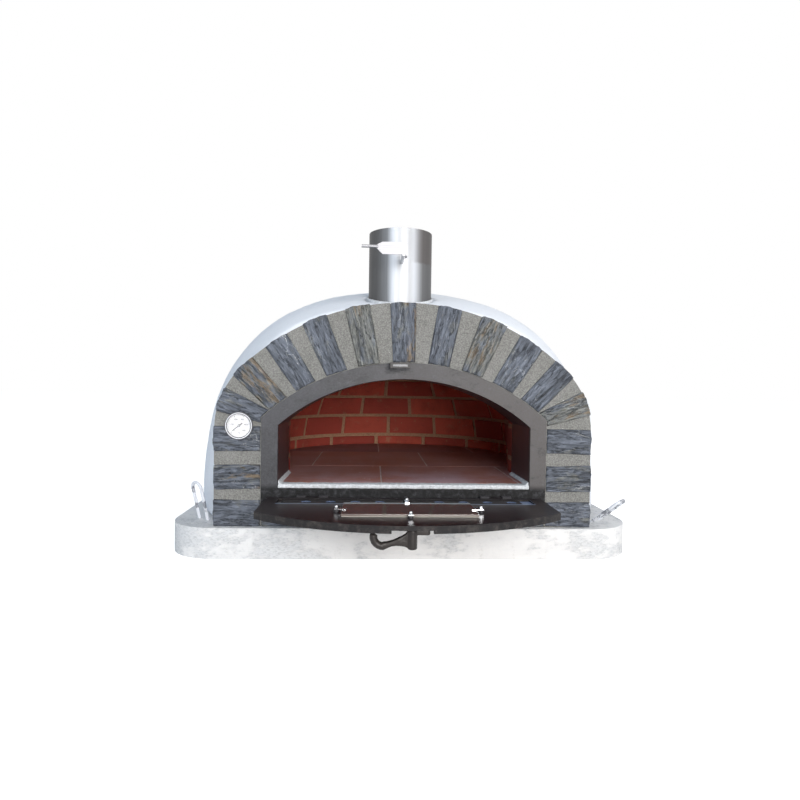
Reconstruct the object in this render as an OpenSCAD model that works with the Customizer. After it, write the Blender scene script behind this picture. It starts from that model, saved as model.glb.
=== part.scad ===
// Wood fired pizza oven: a brick dome on a cast slab, rendered white, with a
// slate front, a hinged enamelled door, a flue with a damper and a dial
// thermometer. Millimetres, +Z up. The origin is the middle of the slab's
// underside, +X is the right side seen from the front and -Y is the front.

/* [Slab] */
// Width of the slab
base_w = 1100; // [1000:10:1340]
// Depth of the slab
base_d = 1150; // [1100:10:1400]
// Height of the slab
base_h = 71; // [55:1:90]
// Radius of the slab's corners in plan
base_corner_r = 116; // [40:1:160]
// Diameter of the rod that the lifting loops are bent from
loop_rod_d = 8; // [6:0.5:10]
// Width of a lifting loop between its rod centres
loop_w = 33; // [28:1:45]
// Length of a lifting loop above the slab
loop_len = 98; // [60:1:120]
// Depth of a loop's feet in the slab, along the rod
loop_embed = 40; // [25:1:48]
// Lean of the front left loop away from upright
lean_front_left = 14; // [0:1:50]
// Lean of the front right loop
lean_front_right = 50; // [0:1:55]
// Lean of the two rear loops
lean_rear = 18; // [0:1:50]

/* [Hearth] */
// Thickness of the insulating board under the hearth
board_t = 58; // [40:1:70]
// Thickness of the hearth tiles
tile_t = 40; // [30:1:45]
// Width of a hearth tile
tile_w = 330; // [250:5:400]
// Depth of a hearth tile
tile_d = 367; // [250:1:400]
// Joint between hearth tiles
tile_joint = 3; // [2:0.5:6]
// Height of the mortar strip at the front edge of the hearth
edge_strip_h = 10; // [6:1:14]

/* [Dome] */
// Inner radius of the brick dome
dome_r = 385; // [360:1:400]
// Thickness of the dome bricks
brick_t = 50; // [40:1:55]
// Height of the cut bricks in the first course
first_course_h = 37; // [30:1:60]
// Height of a full course, joint included, along the inner face
course_pitch = 78; // [65:1:90]
// Length of a brick, joint included, along the inner face
brick_pitch = 186; // [150:1:230]
// Mortar joint between bricks
brick_joint = 13; // [8:0.5:16]
// Depth that the mortar stands back from the brick faces
joint_recess = 3; // [1:0.5:6]
// Mortar coat over the bricks
mortar_coat = 8; // [5:1:12]

/* [Shell] */
// Thickness of the white render
render_t = 22; // [15:1:24]
// Half width of the render at its widest
shell_half_w = 542; // [535:1:546]
// Height of the render's top above the ground
shell_top = 689; // [670:1:720]
// Half width of the render behind the front
shell_front_half_w = 434; // [425:1:436]
// Height of the render behind the front
shell_front_top = 584; // [570:1:588]

/* [Mouth] */
// Half width of the opening
mouth_half_w = 293; // [270:1:300]
// Radius of the arch over the opening
mouth_arch_r = 447; // [430:1:460]
// Height of the centre of the arch, below the ground when negative
mouth_arch_z = -33; // [-45:1:-20]
// Width of the door frame's face around the opening
frame_bar = 38; // [30:1:42]
// Thickness of the door frame's face
frame_t = 8; // [5:1:10]
// Depth of the reveal behind the door frame
reveal_d = 187; // [150:1:200]
// Wall of the reveal
reveal_t = 5; // [3:0.5:6]
// Thickness of the cast arch behind the front
vault_t = 45; // [35:1:50]

/* [Front] */
// Half width of the front
front_half_w = 438; // [430:1:460]
// Radius of the front's shoulders
shoulder_r = 200; // [180:5:230]
// Radius of the arch over the front
crown_r = 540; // [520:5:560]
// Thickness of the front's mortar wall
front_t = 28; // [26:1:34]
// Width of a slate stone
stone_w = 60; // [50:1:66]
// Thickness of a slate stone
stone_t = 20; // [16:1:22]
// How far the slate stands proud of the mortar
stone_proud = 4; // [2:0.5:8]
// Slate stones on each side of the middle one
stones_per_side = 8; // [8:1:8]
// Height of the slate course under the door frame
sill_h = 34; // [25:1:40]

/* [Door] */
// Overlap of the door past the arch
door_overlap = 12; // [8:1:16]
// Overlap of the door past the opening's sides
door_side = 19; // [8:1:22]
// Thickness of the door plate
door_t = 9; // [8:0.5:12]
// Depth of the rim around the door plate
rim_depth = 15; // [12:0.5:18]
// Width of the rim around the door plate
rim_w = 9; // [6:0.5:12]
// Height of the hinge axis above the ground
hinge_z = 134; // [130:1:138]
// Distance of each hinge from the middle
hinge_x = 211; // [180:1:240]
// Diameter of the hinge pins
hinge_pin_d = 8; // [6:0.5:9]
// Width of the door's part of a hinge
knuckle_w = 29; // [20:1:36]
// Width of one of the frame's ears beside it
ear_w = 21; // [12:1:24]
// Running gap between door and frame
door_gap = 0.8; // [0.5:0.1:1.5]
// Width of the window glass
glass_w = 271; // [220:1:300]
// Height of the window glass
glass_h = 118; // [80:1:118]
// Thickness of the window glass
glass_t = 4; // [3:0.5:5]
// Length of the air slider
slider_len = 530; // [500:1:536]
// Width of the air slider
slider_w = 54; // [40:1:56]
// Thickness of the air slider
slider_t = 2; // [1.5:0.1:2.5]
// Diameter of the slider's air holes
slider_hole_d = 18; // [12:1:20]
// Spacing of the air holes
slider_pitch = 54; // [46:1:56]

/* [Latch] */
// Diameter of the handle's hub
hub_d = 18; // [16:1:22]
// Length of the handle's hub
hub_len = 36; // [30:1:42]
// Reach of the handle's hook from the hub
hook_reach = 78; // [60:1:90]
// Thickness of the hook's round bar
hook_bar_d = 12; // [9:0.5:13]
// Reach of the latch tongue from the hub's axis
tongue_reach = 33; // [30:1:36]
// Diameter of the handle's spindle
spindle_d = 8; // [6:0.5:9]
// Width of the keeper on the frame
keeper_w = 46; // [40:1:50]
// Height of the keeper
keeper_h = 14; // [10:1:16]

/* [Chimney] */
// Outer diameter of the chimney pipe
pipe_d = 160; // [140:1:170]
// Wall of the chimney pipe
pipe_wall = 1.2; // [0.8:0.1:2]
// Height of the pipe's rim above the ground
pipe_top = 784; // [760:1:900]
// Height of the damper's axis above the ground
damper_z = 700; // [696:1:708]
// Diameter of the damper's shaft
damper_shaft_d = 8; // [6:0.5:10]
// Length of the damper's shaft in front of the pipe
damper_reach = 92; // [60:1:110]
// Height of the damper handle's strap
strap_h = 28; // [20:1:32]
// Length of the flat part of the strap
strap_len = 56; // [45:1:70]

/* [Thermometer] */
// Distance of the dial from the middle of the front
dial_x = 380; // [375:1:384]
// Height of the dial's centre
dial_z = 303; // [280:1:315]
// Diameter of the dial's case
dial_d = 63; // [50:1:70]
// Depth of the dial's case
dial_case_d = 20; // [14:1:26]
// Length of the thermometer's probe behind the front
probe_len = 190; // [120:1:200]

/* [Hidden] */

$fn = 72;
seat = 0.3;             // gap between pieces that are bedded on each other
run_fit = 0.05;         // radial clearance of a turning fit
far = 2000;             // longer than anything in the oven
lip = 1;                // how far a cutting shape reaches past what it cuts
ROUND = 144;            // sides of the dome's large circles

front_y = -base_d / 2;                  // front edge of the slab
face_set = 18;                          // the frame's face behind the slab's edge
face_y = front_y + face_set;            // face of the door frame
frame_proud = 3;                        // the frame stands proud of the mortar
wall_y = face_y + frame_proud;          // face of the front wall's mortar
wall_back_y = wall_y + front_t;         // back of the front wall
hearth_z = base_h + board_t + tile_t;   // top of the hearth
board_z = base_h + board_t;             // top of the insulating board
dome_y = 54;                            // centre of the dome
dome_out_r = dome_r + brick_t;          // outside of the bricks
coat_r = dome_out_r + mortar_coat;      // outside of the mortar coat

SLATE = "slategray";
MORTAR = "tan";
IRON = "#2a2a2c";
STEEL = "silver";
BRICK = "firebrick";

// ---------- plan and front outlines ----------

// An opening outline with upright sides and one arc over them, grown by e
module mouth_outline(e, bottom) {
    intersection() {
        translate([-mouth_half_w - e, bottom])
            square([2 * (mouth_half_w + e), far - bottom]);
        translate([0, mouth_arch_z]) circle(r = mouth_arch_r + e, $fn = 288);
    }
}

// The same outline as a block from y0 to y1
module mouth_block(e, bottom, y0, y1) {
    translate([0, y1, 0]) rotate([90, 0, 0]) linear_extrude(y1 - y0) mouth_outline(e, bottom);
}

shoulder_x = front_half_w - shoulder_r;
crown_z = 51;                                       // centre of the crown's arc
spring_z = crown_z + sqrt(pow(crown_r - shoulder_r, 2) - shoulder_x * shoulder_x);
crown_angle = atan2(shoulder_x, spring_z - crown_z); // where the arcs meet
crown_len = crown_r * crown_angle * PI / 180;
shoulder_len = shoulder_r * (90 - crown_angle) * PI / 180;

// The front's outline: two shoulders and a crown that meet smoothly
module front_outline() {
    foot = base_h + seat;
    translate([-front_half_w, foot]) square([2 * front_half_w, spring_z - foot]);
    for (side = [-1, 1]) translate([side * shoulder_x, spring_z]) circle(r = shoulder_r);
    intersection() {
        translate([0, crown_z]) circle(r = crown_r, $fn = 180);
        polygon([for (side = [1, -1], h = side > 0 ? [foot - crown_z, crown_r] : [crown_r, foot - crown_z])
            [side * h * tan(crown_angle), crown_z + h]]);
    }
}

// A point on the right half of that outline, s along it from the top:
// x, z and the angle that its outward direction leans to the right
function outline_at(s) =
    s < crown_len ? let (a = s / crown_r * 180 / PI)
        [crown_r * sin(a), crown_z + crown_r * cos(a), a] :
    s < crown_len + shoulder_len ?
        let (a = crown_angle + (s - crown_len) / shoulder_r * 180 / PI)
        [shoulder_x + shoulder_r * sin(a), spring_z + shoulder_r * cos(a), a] :
    [front_half_w, spring_z - (s - crown_len - shoulder_len), 90];

module front_block(outline_depth, y0) {
    translate([0, y0 + outline_depth, 0]) rotate([90, 0, 0]) linear_extrude(outline_depth)
        children();
}

// ---------- slab and loops ----------

module rounded_plan(w, d, r) {
    square([w - 2 * r, d], center = true);
    square([w, d - 2 * r], center = true);
    for (x = [-1, 1], y = [-1, 1]) translate([x * (w / 2 - r), y * (d / 2 - r)]) circle(r = r);
}

loop_turn = 40;          // the loops stand across the slab's corners
loop_in_x = 70;          // from the slab's side to a loop
loop_in_y = 94;          // from the slab's front or rear to a loop
// Each loop: side, front or rear, lean
LOOPS = [[-1, -1, lean_front_left], [1, -1, lean_front_right],
    [-1, 1, lean_rear], [1, 1, lean_rear]];

// Puts its children at a loop: feet along X, rising along Z, leaning to -Y
module at_loop(loop) {
    translate([loop[0] * (base_w / 2 - loop_in_x), loop[1] * (base_d / 2 - loop_in_y), base_h])
        rotate([0, 0, loop[1] < 0 ? loop[0] * loop_turn : 180 - loop[0] * loop_turn])
            rotate([loop[2], 0, 0]) children();
}

module base_slab() {
    color("whitesmoke") difference() {
        linear_extrude(base_h) rounded_plan(base_w, base_d, base_corner_r);
        for (loop = LOOPS, x = [-1, 1]) at_loop(loop)
            translate([x * loop_w / 2, 0, -loop_embed - seat])
                cylinder(d = loop_rod_d + 2 * seat, h = loop_embed + base_h);
    }
}

module lifting_loops() {
    straight = loop_len - loop_w / 2 - loop_rod_d / 2;
    color("gainsboro") for (loop = LOOPS) at_loop(loop) {
        for (x = [-1, 1]) translate([x * loop_w / 2, 0, -loop_embed])
            cylinder(d = loop_rod_d, h = loop_embed + straight);
        translate([0, 0, straight]) rotate([90, 0, 0]) rotate_extrude(angle = 180)
            translate([loop_w / 2, 0]) circle(d = loop_rod_d, $fn = 32);
    }
}

// ---------- hearth ----------

board_past = 2;                         // the board reaches past the dome
hearth_r = coat_r + board_past;
board_half_w = mouth_half_w + reveal_t + vault_t;  // and out under the vault
strip_d = 34;                           // depth of the front edge's mortar strip
strip_back_y = face_y + strip_d;
front_row_d = 351;                      // from the slab's edge to the second row of tiles
row_start = [-53, -247, -53];           // where a tile of each row starts

module hearth_plan(r, half_w, y0) {
    translate([0, dome_y]) circle(r = r, $fn = 144);
    translate([-half_w, y0]) square([2 * half_w, dome_y - y0]);
}

module hearth_insulation() {
    color("wheat") translate([0, 0, base_h + seat]) linear_extrude(board_t - seat)
        hearth_plan(hearth_r, board_half_w, wall_back_y + seat);
}

// Rows of tiles from the front; every second row is shifted by part of a tile
module hearth_tiles() {
    color("#7a3526") intersection() {
        translate([0, 0, board_z]) linear_extrude(tile_t - seat)
            hearth_plan(coat_r, board_half_w, strip_back_y + seat);
        for (row = [0:2], col = [-2:2]) {
            x0 = row_start[row] + col * tile_w;
            y0 = row == 0 ? -far : front_y + front_row_d + (row - 1) * tile_d;
            y1 = row == 2 ? far : front_y + front_row_d + row * tile_d;
            translate([x0 + tile_joint / 2, y0 + tile_joint / 2, board_z - lip])
                cube([tile_w - tile_joint, y1 - y0 - tile_joint, tile_t + 2 * lip]);
        }
    }
}

// The white strip along the front edge and the fillets that run back from it
module hearth_edge_mortar() {
    fillet_w = 9;
    set = 2;                // the strip stands back from the frame's face
    fillet_len = reveal_d - 4 * set;
    color("white") {
        translate([-mouth_half_w + seat, face_y + set, hearth_z - edge_strip_h])
            cube([2 * (mouth_half_w - seat), strip_d - set, edge_strip_h]);
        for (side = [-1, 1]) mirror([side < 0 ? 1 : 0, 0, 0])
            translate([mouth_half_w - seat, face_y + 2 * set, hearth_z]) rotate([-90, 0, 0])
                linear_extrude(fillet_len) polygon([[0, 0], [-fillet_w, 0], [0, -fillet_w]]);
    }
}

// ---------- brick dome ----------

COURSES = 7;
// Azimuth of one upright joint in each course, so that the joints are staggered
FIRST_JOINT = [99, 92, 79, 94.5, 82, 98, 84];
joint_angle = brick_joint / dome_r * 180 / PI;      // a bed joint seen from the centre
first_angle = asin(first_course_h / dome_r);
course_angle = course_pitch / dome_r * 180 / PI;
function course_low(c) = c == 1 ? 0 : first_angle + (c - 2) * course_angle;
function course_high(c) = first_angle + (c - 1) * course_angle;
function course_count(c) =
    round(2 * PI * dome_r * cos((course_low(c) + course_high(c)) / 2) / brick_pitch);

function polar(r, a) = [r * cos(a), r * sin(a)];

// Section of a course between two radii, cut by the hearth at its foot
module course_section(r0, r1, a0, a1) {
    polygon([polar(r0, a0), polar(r1, a0), polar(r1, a1), polar(r0, a1)]);
}

// The bricks of course c, each grown by e on every side
module course_bricks(c, e) {
    n = course_count(c);
    low = course_low(c);
    high = course_high(c);
    mid_r = dome_r * cos((low + high) / 2);
    grow = e / dome_r * 180 / PI;
    half_joint = brick_joint / 2 / mid_r * 180 / PI;
    a0 = (c == 1 ? 0 : low + joint_angle / 2) - grow;
    a1 = high - joint_angle / 2 + grow;
    side_grow = e / mid_r * 180 / PI;
    translate([0, dome_y, hearth_z]) for (i = [0:n - 1])
        rotate([0, 0, FIRST_JOINT[c - 1] + i * 360 / n + half_joint - side_grow])
            rotate_extrude(angle = 360 / n - 2 * half_joint + 2 * side_grow, $fn = ROUND)
                course_section(dome_r - e, dome_out_r + e, a0, a1);
}

// What the mouth takes out of the dome
module mouth_cut(e) {
    mouth_block(vault_t + reveal_t + e, -far, -far, dome_y);
}

MOUTH_COURSES = 5;       // courses that the mouth cuts through
cut_joint = 6;           // joint between the cut bricks and the mouth

module brick_course(c) {
    color(BRICK) difference() {
        course_bricks(c, 0);
        if (c <= MOUTH_COURSES) mouth_cut(cut_joint);
    }
}

module brick_course_1() { brick_course(1); }
module brick_course_2() { brick_course(2); }
module brick_course_3() { brick_course(3); }
module brick_course_4() { brick_course(4); }
module brick_course_5() { brick_course(5); }
module brick_course_6() { brick_course(6); }
module brick_course_7() { brick_course(7); }

crown_low = course_high(COURSES) + joint_angle / 2;
crown_rise = 6;          // the plug's top is slightly domed

// The round plug of brick that closes the dome
module dome_crown() {
    color(BRICK) translate([0, dome_y, hearth_z]) rotate_extrude($fn = ROUND)
        polygon([[0, dome_r * sin(crown_low)], polar(dome_r, crown_low),
            polar(dome_out_r, crown_low), [0, dome_out_r * sin(crown_low) + crown_rise]]);
}

// Mortar between and over the bricks
module dome_mortar() {
    low = crown_low - seat / dome_r * 180 / PI;
    color(MORTAR) difference() {
        translate([0, dome_y, hearth_z]) rotate_extrude($fn = ROUND) difference() {
            intersection() {
                circle(r = coat_r);
                translate([0, seat]) square(coat_r);
            }
            circle(r = dome_r + joint_recess);
        }
        for (c = [1:COURSES]) course_bricks(c, seat);
        translate([0, dome_y, hearth_z]) rotate_extrude($fn = ROUND)
            polygon([[0, 0], polar(dome_r - mortar_coat, low), polar(dome_out_r + seat, low),
                [0, dome_out_r * sin(crown_low) + crown_rise + seat]]);
        mouth_cut(seat);
    }
}

// ---------- vault behind the door, with the flue ----------

pipe_back = 161;                        // the chimney's axis behind the frame's face
pipe_x = -10;                           // and left of the middle
pipe_y = face_y + pipe_back;
pipe_r = pipe_d / 2;
flue_ledge = 3;                         // ledge that the pipe stands on
flue_r = pipe_r - pipe_wall - flue_ledge;
pipe_bed = 14;                          // vault left under the pipe's foot
vault_step = 30;                        // the vault is wider behind the flue
seal_w = 6;                             // bead between the pipe and the render
seal_proud = 2;                         // it stands proud of the render
pipe_seat_z = mouth_arch_z + mouth_arch_r + reveal_t + pipe_bed;   // foot of the pipe

module pipe_hole(z0, clear) {
    translate([pipe_x, pipe_y, z0]) cylinder(r = pipe_r + clear, h = far, $fn = 120);
}

module mouth_vault() {
    color("rosybrown") difference() {
        mouth_block(vault_t + reveal_t, hearth_z, wall_back_y + seat, dome_y);
        mouth_block(reveal_t + seat, 0, wall_back_y - lip, dome_y + lip);
        mouth_block(reveal_t + vault_step, 0, pipe_y + pipe_r + pipe_bed, dome_y + lip);
        translate([0, dome_y, hearth_z]) sphere(r = dome_r + joint_recess + lip, $fn = 2 * ROUND);
        translate([pipe_x, pipe_y, 0]) cylinder(r = flue_r, h = far, $fn = 120);
        pipe_hole(pipe_seat_z, seat);
    }
}

// ---------- render and insulation ----------

shell_y0 = wall_back_y + seat;                  // where the render starts
shell_widest_y = face_y + 373;                  // where it is widest
shell_turn_y = face_y + 616;                    // where the round back starts
shell_ledge = 12;                               // slab left behind the render
shell_back_y = base_d / 2 - shell_ledge;
shell_foot = base_h + seat;
RINGS_FRONT = 12;
RINGS_BACK = 9;
SIDES = 36;
BACK_ANGLE = 88;         // the last ring is a small flat

function clamp01(v) = max(0, min(1, v));
function shell_half_at(y) = let (u = clamp01((y - shell_y0) / (shell_widest_y - shell_y0)))
    shell_half_w - (shell_half_w - shell_front_half_w) * pow(1 - u, 2);
function shell_fall(y) = clamp01((shell_turn_y - y) / (shell_turn_y - shell_y0));
function shell_top_at(y) = shell_top - (shell_top - shell_front_top) * pow(shell_fall(y), 2);
// A section is squarer in front than at the back
back_power = 2.395;
front_power = 2.8;
function shell_power(y) = back_power + (front_power - back_power) * pow(shell_fall(y), 1.5);

// One cross section: half a superellipse from the right foot over to the left.
// Inward is how far the surface lies inside the render's outside
function shell_ring(y, inward, squeeze) =
    let (w = (shell_half_at(y) - inward) * squeeze,
        h = (shell_top_at(y) - inward - shell_foot) * squeeze,
        e = 2 / shell_power(y))
    [for (i = [0:SIDES]) let (t = 180 * i / SIDES)
        [w * sign(cos(t)) * pow(abs(cos(t)), e),
        y, i == 0 || i == SIDES ? shell_foot : shell_foot + h * pow(sin(t), e)]];

// The render's shape as a closed solid from y0 to its round back
module shell_solid(y0, inward, z_drop) {
    back = shell_back_y - inward;
    rings = concat(
        [for (i = [0:RINGS_FRONT]) shell_ring(y0 + (shell_turn_y - y0) * i / RINGS_FRONT, inward, 1)],
        [for (i = [1:RINGS_BACK]) let (a = BACK_ANGLE * i / RINGS_BACK)
            [for (p = shell_ring(shell_turn_y, inward, cos(a)))
                [p[0], shell_turn_y + (back - shell_turn_y) * sin(a), p[2]]]]);
    count = SIDES + 1;
    last = (len(rings) - 1) * count;
    points = [for (ring = rings, p = ring)
        [p[0], p[1], p[2] <= shell_foot ? shell_foot - z_drop : p[2]]];
    faces = concat(
        [[for (i = [SIDES:-1:0]) i]],
        [for (r = [0:len(rings) - 2], i = [0:SIDES - 1])
            each [[r * count + i, (r + 1) * count + i + 1, (r + 1) * count + i],
                [r * count + i, r * count + i + 1, (r + 1) * count + i + 1]]],
        [for (r = [0:len(rings) - 2]) each
            [[r * count, (r + 1) * count + SIDES, r * count + SIDES],
            [r * count, (r + 1) * count, (r + 1) * count + SIDES]]],
        [[for (i = [0:SIDES]) last + i]]);
    polyhedron(points = points, faces = faces, convexity = 4);
}

module render_shell() {
    color("white") difference() {
        shell_solid(shell_y0, 0, 0);
        shell_solid(shell_y0 - lip, render_t, lip);
        pipe_hole(pipe_seat_z, seal_w);
        probe_hole(lip);
    }
}

module dome_insulation() {
    color("khaki") difference() {
        shell_solid(shell_y0 + seat, render_t + seat, 0);
        translate([0, dome_y, hearth_z]) sphere(r = coat_r + seat, $fn = 120);
        linear_extrude(hearth_z + seat) hearth_plan(hearth_r + seat, board_half_w + seat, -far);
        mouth_block(vault_t + reveal_t + seat, 0, -far, dome_y);
        pipe_hole(pipe_seat_z, seat);
        probe_hole(seat);
    }
}

// The way that the thermometer's probe goes in
module probe_hole(clear) {
    at_dial() rotate([-90, 0, 0])
        cylinder(r = probe_r + clear, h = 2 * (probe_len + dial_case_d), center = true);
}

// ---------- slate front ----------

// Distance along the outline from the top to stone k: the steps close up lower down
stone_step = 110.2;
step_loss = 1.73;
stone_shift = -8;        // the middle stone stands a little to the left
function stone_s(k, side) = stone_step * k - step_loss * k * k
    + side * stone_shift * max(0, 1 - k / ARCH_STONES);
stone_reach = 150;       // from the outline to past the door frame's edge
frame_joint = 2;         // joint between the stones and the door frame
function jitter(seed, amount) = rands(-amount, amount, 1, seed)[0];

ARCH_STONES = 5;         // on each side; the rest stand on the legs
// Width of stone k at its inner end, as a share of its width at the outline
function inner_share(k) = k == ARCH_STONES ? 0.42 : k > ARCH_STONES ? 0.95 : 0.82;

// One stone in its own frame: X across it, Y outward from the outline
module stone_outline(k, side, e) {
    seed = 100 + 10 * k + side;
    half = stone_w / 2 + jitter(seed, 1.5);
    inner = half * inner_share(k);
    middle = (half + inner) / 2;
    out = 3 + jitter(seed + 3, 1.5) + e;
    inner_y = -stone_reach;
    polygon([[-half - e + jitter(seed + 1, 2), out - 3], [-half * 0.4, out],
        [half * 0.5, out - 1 + jitter(seed + 2, 1)], [half + e + jitter(seed + 4, 2), out - 2],
        [middle + e + jitter(seed + 5, 1), inner_y / 2], [inner + e + jitter(seed + 6, 1.5), inner_y],
        [-inner - e + jitter(seed + 7, 1.5), inner_y], [-middle - e + jitter(seed + 8, 1), inner_y / 2]]);
}

// A stone's flat shape on the front: from the door frame out to the outline
module placed_stone(k, side, e) {
    p = outline_at(stone_s(k, side));
    difference() {
        intersection() {
            translate([side * p[0], p[1]]) rotate(-side * p[2]) stone_outline(k, side, e);
            translate([-far / 2, base_h + 2 * seat - e]) square(far);
            if (k > ARCH_STONES) translate([side > 0 ? 0 : -far, 0]) square(far);
        }
        mouth_outline(frame_bar + frame_joint - e, -far);
        translate([-dial_x, dial_z]) circle(r = case_r + 2 * seat - e);
    }
}

module stone(k, side) {
    proud = stone_proud + jitter(300 + 10 * k + side, 1);
    color(SLATE) front_block(stone_t, wall_y - proud) placed_stone(k, side, 0);
}

module key_stone() { stone(0, 1); }
module arch_stones_left() { for (k = [1:ARCH_STONES]) stone(k, -1); }
module arch_stones_right() { for (k = [1:ARCH_STONES]) stone(k, 1); }
module leg_stones_left() { for (k = [ARCH_STONES + 1:stones_per_side]) stone(k, -1); }
module leg_stones_right() { for (k = [ARCH_STONES + 1:stones_per_side]) stone(k, 1); }

SILL_COUNT = 4;
sill_w = 2 * (mouth_half_w + frame_bar) / SILL_COUNT;

module sill_outline(i, e) {
    translate([(i - SILL_COUNT / 2) * sill_w + frame_joint - e, base_h + 2 * seat - e])
        square([sill_w - 2 * frame_joint + 2 * e, sill_h - jitter(500 + i, 2) + 2 * e]);
}

module sill_stones() {
    color(SLATE) for (i = [0:SILL_COUNT - 1])
        front_block(stone_t, wall_y - stone_proud + lip) sill_outline(i, 0);
}

module front_wall() {
    pocket = stone_t - stone_proud + lip + seat;
    before = 50;            // how far the cuts reach in front
    color(MORTAR) difference() {
        front_block(front_t, wall_y) front_outline();
        front_block(pocket + before, wall_y - before) {
            placed_stone(0, 1, seat);
            for (k = [1:stones_per_side], side = [-1, 1]) placed_stone(k, side, seat);
            for (i = [0:SILL_COUNT - 1]) sill_outline(i, seat);
        }
        mouth_block(frame_bar + seat, frame_foot - seat, -far, face_y + frame_t + seat);
        mouth_block(reveal_t + seat, frame_inner_foot - reveal_t - seat, -far, far / 4);
        probe_hole(seat);
        dial_disc(wall_y - before, case_r + seat, before + dial_set);
    }
}

// ---------- door frame ----------

frame_inner_foot = hearth_z - edge_strip_h;     // top of the frame's lower bar
frame_foot = frame_inner_foot - frame_bar;      // foot of the door frame

module door_frame() {
    color(IRON) difference() {
        mouth_block(frame_bar, frame_foot, face_y, face_y + frame_t);
        mouth_block(0, frame_inner_foot, face_y - lip, face_y + frame_t + lip);
    }
}

module frame_reveal() {
    color(IRON) difference() {
        mouth_block(reveal_t, frame_inner_foot - reveal_t, face_y + frame_t, face_y + reveal_d);
        mouth_block(0, frame_inner_foot, face_y, face_y + reveal_d + lip);
        translate([-far / 2, strip_back_y, 0]) cube([far, far, hearth_z]);
        translate([pipe_x, pipe_y, frame_inner_foot]) cylinder(r = flue_r, h = far, $fn = 120);
    }
}

keeper_x = -15;
keeper_z = mouth_arch_z + mouth_arch_r + frame_bar - keeper_h / 2;
tongue_t = 9;                       // thickness of the latch tongue
keeper_wall = 4;
keeper_play = 3;
keeper_depth = rim_depth + tongue_t + keeper_wall + keeper_play;  // the tongue goes behind its bar

// A hook that is open on the right, where the tongue swings in behind its bar
module latch_keeper() {
    color(IRON) translate([keeper_x - keeper_w / 2, face_y - keeper_depth, keeper_z - keeper_h / 2]) {
        cube([keeper_w, keeper_wall, keeper_h]);
        cube([keeper_wall, keeper_depth, keeper_h]);
    }
}

// ---------- hinges ----------

hinge_drop = 9;                                     // hinge axis under the door's inner face
hinge_y = face_y - hinge_drop - door_gap;
pin_r = hinge_pin_d / 2;
ear_r = hinge_drop + 3.5;
ear_gap = 0.4;
ear_flat = 3;                                       // taken off the top of an ear's root
pin_end = 1;                                        // a pin stands out of its ears
pin_head = 2.5;

module along_x(x0, len, r) {
    translate([x0, 0, 0]) rotate([0, 90, 0]) cylinder(r = r, h = len);
}

module at_hinge() {
    translate([0, hinge_y, hinge_z]) children();
}

module hinge_ears() {
    color(IRON) at_hinge() for (side = [-1, 1], end = [-1, 1]) {
        x0 = side * hinge_x + (end > 0 ? knuckle_w / 2 + ear_gap : -knuckle_w / 2 - ear_gap - ear_w);
        difference() {
            union() {
                along_x(x0, ear_w, ear_r);
                translate([x0, 0, -ear_r]) cube([ear_w, face_y - hinge_y, 2 * ear_r - ear_flat]);
            }
            translate([x0 - lip, face_y - hinge_y, -ear_r - lip])
                cube([ear_w + 2 * lip, 2 * ear_r, 2 * ear_r + 2 * lip]);
            along_x(x0 - lip, ear_w + 2 * lip, pin_r + run_fit);
        }
    }
}

module hinge_pins() {
    half = knuckle_w / 2 + ear_gap + ear_w;
    color(STEEL) at_hinge() for (side = [-1, 1]) {
        along_x(side * hinge_x - half - pin_end, 2 * (half + pin_end), pin_r);
        along_x(side * hinge_x + half + ear_gap / 2, pin_head, pin_r + 2);
    }
}

// ---------- door, drawn lying open ----------
// In the door's frame X runs across, S runs from the hinge axis to the free edge
// (towards -Y when open) and the inner face looks up.

door_arc_r = mouth_arch_r + door_overlap;
door_half_w = mouth_half_w + door_side;
door_near = 14;                                     // from the hinge axis to the plate
inner_z = hinge_z + hinge_drop;                     // inner face when open
door_far = mouth_arch_z + door_arc_r - hinge_z;     // from the hinge axis to the free edge

// Flat outline of the door, drawn with S along +Y, smaller by e all round
module door_outline(e) {
    intersection() {
        translate([-door_half_w + e, door_near + e]) square([2 * (door_half_w - e), far]);
        translate([0, mouth_arch_z - hinge_z]) circle(r = door_arc_r - e, $fn = 180);
    }
}

// Puts a flat shape drawn in X and S on the open door, from n0 up by h,
// heights measured from the inner face
module on_door(n0, h) {
    translate([0, hinge_y, inner_z + n0]) mirror([0, 1, 0]) linear_extrude(h) children();
}

glass_s = 158;                                      // middle of the window
window_inset = 13;                                  // the glass laps the window by this
slider_s = 56;                                      // middle of the air slider
channel_len = 566;
lip_w = 2;                                          // lips that hold the slider in
lip_t = 1.2;
slider_play = 0.2;                                  // above and below the slider
channel_deep = slider_t + 2 * slider_play;
slider_shift = 8;                                   // the slider stands half open
hole_r = slider_hole_d / 2;
first_hole = 66;
HOLE_XS = [for (i = [0:3], side = [-1, 1]) side * (first_hole + i * slider_pitch)];
hub_in = 10;                                        // from the free edge to the handle's axis
hub_s = door_far - hub_in;
hub_r = hub_d / 2;
spindle_r = spindle_d / 2;
spindle_head_r = spindle_r + 1.8;
notch_half = 39;                                    // gap in the rim for the latch
notch_in = 25;                                      // and how far in it is cut
clip_out = 11;                                      // from the glass's edge to a clip's nut
clip_low = 14;                                      // the side clips are this far below its middle
// Where the clips sit: x, s and the direction in which they reach over the glass
CLIPS = [[-glass_w / 2 - clip_out, glass_s + clip_low, 0],
    [glass_w / 2 + clip_out, glass_s + clip_low, 180],
    [0, glass_s - glass_h / 2 - clip_out + 1, 90], [0, glass_s + glass_h / 2 + clip_out - 1, -90]];

module at_s(s) {
    translate([0, hinge_y - s, 0]) children();
}

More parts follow.
